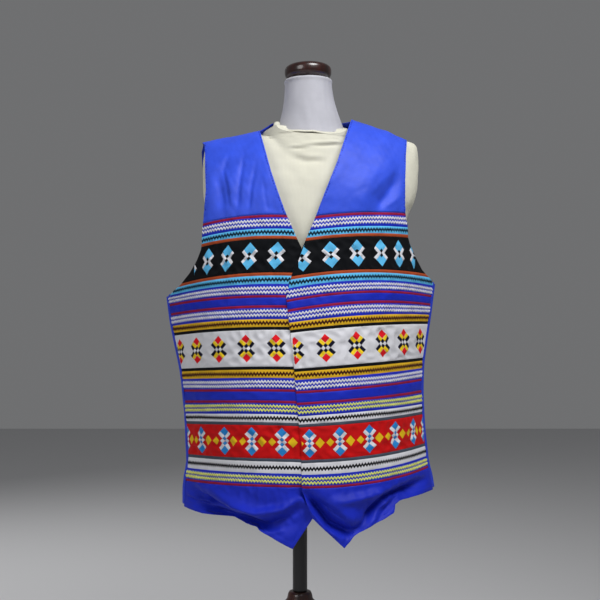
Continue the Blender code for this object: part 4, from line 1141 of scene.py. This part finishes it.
def trim_pieces():
    """The braid and patches that go with each strip."""
    pieces = {}
    for side in ("right", "left"):
        for band in BANDS:
            above, _, below = band_segments(band)
            top, bottom = band.top_v, below[-1][1] - TAPE_HALF
            for part, start, way, accent in (("above", top, 1, above[2]), ("below", bottom, -1, below[1])):
                rows = [(start + way * place, BROAD_BRAID, band.broad) for place in BROAD_PLACES]
                rows.append(((accent[0] + accent[1]) / 2, THIN_BRAID, band.thin))
                pieces[f"{side}_{band.name}_trim_{part}"] = [
                    braid_piece(f"braid_{side}_{band.name}_{part}", side, rows)]
            pieces[f"{side}_{band.name}_patch_band"] = [patch_piece(side, band)]
    return pieces


# Picked stitches: each a slim six-sided ridge of thread that goes into the cloth at both ends
STITCH_OUTLINE = ((-1, 0, 0), (-0.55, 1, 0.25), (0.55, 1, 0.25), (1, 0, 0), (0.55, -1, 0.25),
                  (-0.55, -1, 0.25), (-0.5, 0, 1), (0.5, 0, 1))
STITCH_FACES = ((0, 1, 6), (1, 2, 7, 6), (2, 3, 7), (3, 4, 7), (4, 5, 6, 7), (5, 0, 6))
STITCH_END_GAP = 0.004
STITCH_SINK = 0.0001


def stitch_piece(name, side, edge, top_z, bottom_z, inset):
    """Dashes of thread along an upright edge of a front, set in from it, one stitch apart."""
    z = np.linspace(top_z, bottom_z, 400)
    x = edge(z) + inset
    length = lengths_along(front_surface(side, x, z)[0])
    places = np.arange(STITCH_STEP, length[-1], STITCH_STEP)
    x, z = np.interp(places, length, x), np.interp(places, length, z)
    points, normals = front_surface(side, x, z, -STITCH_SINK)
    along = unit(np.gradient(points, axis=0))
    vertices, faces, uv = [], [], []
    for point, normal, run, side_way in zip(points, normals, along, np.cross(normals, along)):
        faces += [[len(vertices) + i for i in face[::-1]] for face in STITCH_FACES]
        for a, b, c in STITCH_OUTLINE:
            vertices.append(point + run * a * STITCH_LENGTH / 2 + side_way * b * STITCH_WIDTH / 2
                            + normal * (c * STITCH_HEIGHT + 0.00005))
            uv.append((a * STITCH_LENGTH, b * STITCH_WIDTH))
    return build_piece(name, vertices, faces, uv, ["stitch_thread"])


def build_stitches(side):
    inset, seam = SIGN[side] * STITCH_INSET, SHOULDERS[side]
    bottom = LEVEL_TOP_Z[side] + STITCH_END_GAP
    heights = seam.neck_z - STITCH_END_GAP, bottom
    v_edge = stitch_piece(f"stitches_{side}_v_edge", side, CENTRE_X[side], *heights, inset)
    heights = seam.tip_z - STITCH_END_GAP, bottom + STITCH_END_GAP
    armhole = stitch_piece(f"stitches_{side}_armhole", side, lambda z: outer_x(side, z), *heights, -inset)
    return [v_edge, armhole]


SHEETS = {**build_fronts(), "back": build_back()}
TRIM = trim_pieces()
for side_name in ("right", "left"):
    TRIM[f"{side_name}_yoke"] = build_stitches(side_name)


# The dress form and its stand. Slope is the rise of a ring from back to front, tilt from right to left
Ring = namedtuple("Ring", "z centre_x half_width front back power slope tilt", defaults=(0, 0))


def ring_rows(rows):
    return tuple(Ring(*metres(row[:5]), *row[5:]) for row in rows)


TORSO_RINGS = ring_rows((
    (5600, 50, 1280, 820, 840, 2.3), (5640, 50, 1420, 940, 960, 2.3), (5780, 52, 1510, 1010, 1020, 2.3),
    (6200, 60, 1570, 1040, 1050, 2.3), (7000, 75, 1520, 1010, 1000, 2.3), (7800, 95, 1440, 970, 950, 2.3),
    (8600, 115, 1490, 1010, 980, 2.3), (9400, 140, 1590, 1060, 1030, 2.3, 0, 0.004),
    (9950, 160, 1640, 1050, 1040, 2.3, 0, 0.01), (10310, 168, 1715, 1010, 1020, 2.2, 0, 0.018),
    (10520, 172, 1815, 960, 990, 2.2, 0, 0.02), (10830, 180, 1870, 880, 920, 2.1, 0, 0.024),
    (11220, 185, 1880, 680, 740, 2.1, 0, 0.022), (11462, 185, 1860, 540, 580, 2.1, 0, 0.018),
    (11598, 185, 1780, 440, 450, 2, 0, 0.002), (11625, 185, 1630, 400, 400, 2, 0.02, 0.002),
    (11660, 185, 1400, 410, 420, 2, 0.06, 0.003), (11698, 187, 1140, 430, 440, 2, 0.12, 0.004),
    (11747, 190, 890, 460, 470, 2, 0.2, 0.006), (11812, 192, 700, 530, 550, 2, 0.29, 0.006),
    (11850, 193, 600, 570, 590, 2, 0.32),
))
NECK_RINGS = ring_rows((
    (11853, 193, 575, 530, 550, 2, 0.32), (11990, 185, 532, 490, 500, 2, 0.24),
    (12180, 172, 478, 455, 460, 2, 0.14), (12420, 155, 430, 430, 430, 2, 0.04, 0.004),
    (12620, 145, 412, 412, 412, 2, 0, 0.012), (12675, 142, 420, 420, 420, 2, 0, 0.015),
    (12700, 141, 408, 408, 408, 2, 0, 0.015),
))
TORSO_TOP_STEPS = (17, 13, 8, 5, 7, 7, 6, 6, 4)
NECK_STEPS = (10, 12, 14, 12, 4, 3)
TORSO_SIDES = 220
NECK_SIDES = 144
ROLL_SIDES = 14
TORSO_ROW_HEIGHT = 0.006
SEAT_GAP = 0.0003
# The chest under the neck is filled out to an oval
CHEST_HALF_WIDTH = 0.085
CHEST_DEPTH = 0.057
CHEST_SLOPE = 0.30
CHEST_TOP_Z = 1.1668
CHEST_ROUNDNESS = 2.2
CHEST_BLEND = (1.09, 1.12)
# The cover's top edge sags at the wearer's left
COVER_SAG = 0.11
COVER_SAG_WIDTH = 0.065
COVER_SAG_FADE = (0.075, 0.105)
COVER_SAG_HEIGHTS = (1.150, 1.175)
CURL_ANGLE = 3.25
CURL_SPREAD = 0.22
CURL_SWELL = 0.85
CURL_RISE = 0.60
LEFT_SWELL = 0.35
LEFT_SWELL_BLEND = (-0.5, 0.7)
ROLL_RISE = 0.0006
# Waves round the roll, in (height, number, phase)
ROLL_WANDER = ((0.0007, 3, 1), (0.0004, 7, 0), (0.0003, 13, 2))
ROLL_SWELLS = ((0.10, 2, 0.5), (0.06, 9, 0))
COVER_FOLD_BLEND = (0.005, 0.030)
COVER_RIPPLE_TOP_Z = 1.17
ROLL_RADIUS = 0.0035
ROLL_CLEAR = 0.0020
CAP_RADIUS = 0.0410
CAP_HEIGHT = 0.0295
CAP_ROUNDNESS = 3.0
CAP_ANGLES = (-78, 89.5, 44)
CAP_SIDES = 96
POLE_SIDES = 64
POST_SIDES = 80
POST_ROWS = 150
CAP_TILT = 0.015
POLE_RADIUS = 0.0125
POLE_BEVEL = 0.0008
# The turned post, in (height, radius)
POST_PROFILE = metres((
    (3837, 185), (3800, 205), (3720, 225), (3640, 290), (3530, 350), (3410, 370), (3280, 345), (3160, 270),
    (3080, 240), (2950, 265), (2700, 290), (2400, 280), (2180, 300), (950, 300), (850, 260), (740, 160),
    (700, 60),
))
POST_RADIUS_AT_LEGS = 0.0300
LEG_THICKNESS = 0.024
LEG_COUNT = 4
LEG_FIRST_ANGLE = math.radians(45)
LEG_EDGE = 0.0035
LEG_OUTLINE = (
    (POST_RADIUS_AT_LEGS + SEAT_GAP, 0.195),
    *metres(((700, 1820), (1200, 1400), (1750, 820), (2250, 420), (2620, 300), (2750, 180), (2750, 0),
             (2220, 0), (1950, 120), (1500, 520), (1000, 980), (600, 1180))),
    (POST_RADIUS_AT_LEGS + SEAT_GAP, 0.122),
)
# Folds of the form's cover below its neck, in x and z on its front
COVER_FOLDS = named_rows(Fold, (
    (30, 24, ((67, 11476), (350, 11500), (722, 11532))),
    (32, -28, ((240, 11440), (450, 11455), (690, 11480))),
    (28, 18, ((-168, 11451), (-80, 11446), (17, 11434))),
    (32, -26, ((-125, 11402), (-10, 11400), (101, 11404))),
    (52, -34, ((-50, 11235), (117, 11176), (319, 11186), (420, 11150))),
    (60, 18, ((-60, 11300), (100, 11245), (340, 11240))),
    (80, -16, ((-150, 11330), (-80, 11260), (-50, 11180))),
    (110, -16, ((-300, 11100), (-100, 10900), (50, 10650))),
))


def circle(count):
    return np.linspace(0, 2 * math.pi, count, endpoint=False)


def waves_round(waves, angles, start=0):
    return sum((height * np.sin(number * angles + phase) for height, number, phase in waves), start)


def ring_points(ring, angles, grow=0.0):
    cosine, sine = np.cos(angles), np.sin(angles)
    power = 2 / ring.power
    x = (ring.half_width + grow) * np.sign(cosine) * np.abs(cosine) ** power
    y = (np.where(sine > 0, ring.back, ring.front) + grow) * np.sign(sine) * np.abs(sine) ** power
    return np.stack([ring.centre_x + x, y, ring.z + ring.slope * y + ring.tilt * x], -1)


def refine_rows(rows, counts):
    """Smooth rows through rows of points, with a number of steps for each gap."""
    rows = np.asarray(rows)
    gaps = np.maximum(np.linalg.norm(np.diff(rows, axis=0), axis=-1).mean(1), 1e-9)[:, None, None]
    tangents = smooth_slopes(np.diff(rows, axis=0) / gaps)
    result = [rows[:1]]
    for i, count in enumerate(counts):
        t = (np.arange(1, count + 1) / count)[:, None, None]
        result.append(curve_between(rows, tangents, i, t, gaps[i]))
    return np.concatenate(result)


def tube_normals(points):
    around = np.roll(points, -1, 1) - np.roll(points, 1, 1)
    return unit(np.cross(around, np.gradient(points, axis=0)))


def closed_loft(name, points, material, replaces, cap=True, smooth_angle=60):
    """A closed body from rings of points, lowest first, capped at both ends."""
    rows, columns = points.shape[:2]
    faces = grid_faces(rows, columns, False, 0, True)
    vertices = points.reshape(-1, 3).tolist()
    around, down = lengths_along(points[rows // 2]), lengths_along(points[:, 0])
    uv = np.stack(np.broadcast_arrays(around[None, :], down[:, None]), -1).reshape(-1, 2).tolist()
    if cap:
        for row, order in ((0, -1), (rows - 1, 1)):
            vertices.append(points[row].mean(0).tolist())
            uv.append((0, 0))
            ring = [row * columns + c for c in range(columns)]
            faces += [[a, b, len(vertices) - 1][::order] for a, b in zip(ring, ring[1:] + ring[:1])]
    obj = build_piece(name, vertices, faces, uv, [material], smooth_angle)
    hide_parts(*replaces)
    return obj


def cover_dip(points):
    """How far the cover's top edge sags at the wearer's left, fading out towards the shoulder."""
    left_way = points[..., 0] - NECK_RINGS[0].centre_x
    reach = np.hypot(left_way, points[..., 1])
    return COVER_SAG * np.clip(left_way, 0, COVER_SAG_WIDTH) * (1 - smooth_step(*COVER_SAG_FADE, reach))


def build_torso():
    """The torso, with its chest filled out under the neck and the folds of its cover."""
    counts = [max(2, int((b.z - a.z) / TORSO_ROW_HEIGHT)) for a, b in zip(TORSO_RINGS, TORSO_RINGS[1:])]
    counts[-len(TORSO_TOP_STEPS):] = TORSO_TOP_STEPS
    points = refine_rows([ring_points(ring, circle(TORSO_SIDES)) for ring in TORSO_RINGS], counts)
    x, y, z = points[..., 0], points[..., 1], points[..., 2]
    reach = np.abs(x - NECK_RINGS[0].centre_x) / CHEST_HALF_WIDTH
    oval = np.maximum(1 - reach**CHEST_ROUNDNESS, 0) ** (1 / CHEST_ROUNDNESS)
    chest = -(CHEST_DEPTH + CHEST_SLOPE * np.maximum(CHEST_TOP_Z - z, 0)) * oval
    filled = np.where((z > CHEST_BLEND[0]) & (y < 0), np.minimum(y, chest), y)
    points = np.stack([x, y + (filled - y) * smooth_step(*CHEST_BLEND, z), z], -1)
    height = folds_height(COVER_FOLDS, x, z) * smooth_step(*COVER_FOLD_BLEND, -y)
    height += ripples_height(TORSO_RIPPLES, x + y, z) * (z < COVER_RIPPLE_TOP_Z)
    points = points + tube_normals(points) * height[..., None]
    points[..., 2] -= cover_dip(points) * smooth_step(*COVER_SAG_HEIGHTS, points[..., 2])
    closed_loft("cloth_form_torso", points, "cream", ["form_torso"])


def build_neck():
    points = refine_rows([ring_points(ring, circle(NECK_SIDES)) for ring in NECK_RINGS], NECK_STEPS)
    height = ripples_height(NECK_RIPPLES, points[..., 0] + points[..., 1], points[..., 2])
    points = points + tube_normals(points) * height[..., None]
    closed_loft("cloth_form_neck", points, "neck_grey", ["form_neck"])


def build_roll():
    """The cover's rolled top edge: an uneven soft tube of cloth with a small curl at the wearer's right."""
    around = circle(TORSO_SIDES)
    wander = waves_round(ROLL_WANDER, around)
    curl = np.exp(-(((around - CURL_ANGLE) / CURL_SPREAD) ** 2))
    left = smooth_step(*LEFT_SWELL_BLEND, np.cos(around))
    radius = ROLL_RADIUS * (waves_round(ROLL_SWELLS, around, 1) + CURL_SWELL * curl + LEFT_SWELL * left)
    rows = []
    for turn in circle(ROLL_SIDES):
        points = ring_points(NECK_RINGS[0], around, ROLL_CLEAR + radius * math.cos(turn))
        points[:, 2] += ROLL_RISE + radius * (1 + math.sin(turn)) * (0.5 + CURL_RISE * curl) + wander
        points[:, 2] -= cover_dip(points)
        rows.append(points)
    closed_loft("cloth_form_roll", np.array(rows + rows[:1]), "cream", ["form_cover_roll"],
                cap=False, smooth_angle=0)


def lathe_rings(profile, sides, centre=(0, 0, 0), tilt=0.0):
    """Rings of a turned body from (radius, height) points, lowest first."""
    rings = []
    for radius, height in profile:
        x, y = radius * np.cos(circle(sides)), radius * np.sin(circle(sides))
        rings.append(np.stack([centre[0] + x, centre[1] + y, centre[2] + height + tilt * x], -1))
    return np.array(rings)


def build_cap():
    half = CAP_HEIGHT / 2
    profile = []
    for t in np.radians(np.linspace(*CAP_ANGLES)):
        radius = CAP_RADIUS * math.cos(t) ** (2 / CAP_ROUNDNESS)
        profile.append((radius, half + half * math.copysign(abs(math.sin(t)) ** (2 / CAP_ROUNDNESS), t)))
    profile[0] = (profile[0][0], 0.0)
    centre = (NECK_RINGS[-1].centre_x, 0, NECK_RINGS[-1].z + SEAT_GAP)
    rings = lathe_rings(profile, CAP_SIDES, centre, CAP_TILT)
    closed_loft("form_cap_polished", rings, "cap_wood", ["form_neck_cap"], smooth_angle=70)


def build_stand():
    bottom, top = POST_PROFILE[0][0] + SEAT_GAP, TORSO_RINGS[0].z - SEAT_GAP
    profile = [(POLE_RADIUS - POLE_BEVEL, bottom), (POLE_RADIUS, bottom + POLE_BEVEL)]
    profile += [(POLE_RADIUS, bottom + (top - bottom) * share) for share in np.linspace(0.02, 0.98, 12)]
    profile += [(POLE_RADIUS, top - POLE_BEVEL), (POLE_RADIUS - POLE_BEVEL, top)]
    rings = lathe_rings(profile, POLE_SIDES)
    closed_loft("stand_pole_painted", rings, "black_paint", ["stand_pole"])
    curve = smooth_curve(POST_PROFILE[::-1])
    heights = [height for height, _ in POST_PROFILE]
    places = np.unique(np.concatenate([np.linspace(heights[-1], heights[0], POST_ROWS), heights]))
    profile = [(float(curve(z)), z) for z in places]
    rings = lathe_rings(profile, POST_SIDES)
    closed_loft("stand_post_turned", rings, "dark_wood", ["stand_post"])


def build_leg(number):
    """A leg sawn from a board, with rounded edges."""
    half, count = LEG_THICKNESS / 2, len(LEG_OUTLINE)
    corners = [(reach, y, height) for y in (-half, half) for reach, height in LEG_OUTLINE]
    faces = [list(range(count))[::-1], list(range(count, 2 * count))]
    for i in range(count):
        j = (i + 1) % count
        faces.append([i, j, count + j, count + i])
    uv = [(reach, height) for reach, _, height in corners]
    obj = build_piece(f"stand_leg_{number}_wood", corners, faces, uv, ["leg_wood"], 40)
    obj.matrix_world = Matrix.Rotation(LEG_FIRST_ANGLE + 2 * math.pi * number / LEG_COUNT, 4, "Z")
    rounding = obj.modifiers.new("Rounded edges", "BEVEL")
    rounding.width = LEG_EDGE
    rounding.segments = 4
    rounding.angle_limit = math.radians(35)
    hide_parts(f"stand_leg_{number}")


build_torso()
build_neck()
build_roll()
build_cap()
build_stand()
for leg in range(LEG_COUNT):
    build_leg(leg)


# Studio
FLOOR_CORNERS = ((-6, -4, 0), (6, -4, 0), (6, 7, 0), (-6, 7, 0))
FLOOR_COLOUR = (0.62, 0.62, 0.63, 1)
SKY_COLOUR = (0.93, 0.94, 0.96, 1)
SKY_STRENGTH = 0.17
Light = namedtuple("Light", "name location target size power")
LIGHTS = (
    Light("key", (0.62, -1.15, 2.45), (0, 0, 0.95), 1.1, 42),
    Light("fill", (-2.0, -2.5, 2.1), (0, 0, 0.9), 1.6, 25),
    Light("back", (-1.9, 2.1, 2.4), (0, 0, 0.9), 1.4, 36),
)
CAMERA_PLACE = (0, -1.75, 0.8285)
CAMERA_RISE = 1.88
CAMERA_LENS = 60.36


def new_object(name, data):
    obj = bpy.data.objects.new(name, data)
    bpy.context.scene.collection.objects.link(obj)
    return obj


def build_studio():
    floor_mesh = bpy.data.meshes.new("studio_floor")
    floor_mesh.from_pydata(FLOOR_CORNERS, [], [(0, 1, 2, 3)])
    material, _, shader = new_material("studio_floor")
    set_inputs(shader, {"Base Color": FLOOR_COLOUR, "Roughness": 0.9})
    floor_mesh.materials.append(material)
    new_object("studio_floor", floor_mesh)

    world = bpy.data.worlds.new("studio")
    bpy.context.scene.world = world
    world.use_nodes = True
    set_inputs(world.node_tree.nodes["Background"], {"Color": SKY_COLOUR, "Strength": SKY_STRENGTH})

    for row in LIGHTS:
        light = bpy.data.lights.new(row.name, "AREA")
        light.shape = "DISK"
        light.size = row.size
        light.energy = row.power
        lamp = new_object(row.name, light)
        lamp.location = row.location
        lamp.rotation_euler = (Vector(row.target) - Vector(row.location)).to_track_quat("-Z", "Y").to_euler()
        lamp.visible_glossy = row.name != "back"

    camera_data = bpy.data.cameras.new("camera")
    camera_data.sensor_width = 36
    camera_data.lens = CAMERA_LENS
    camera = new_object("camera", camera_data)
    camera.location = CAMERA_PLACE
    camera.rotation_euler = (math.radians(90 + CAMERA_RISE), 0, 0)
    bpy.context.scene.camera = camera
    bpy.context.scene.view_settings.view_transform = "Standard"


build_studio()
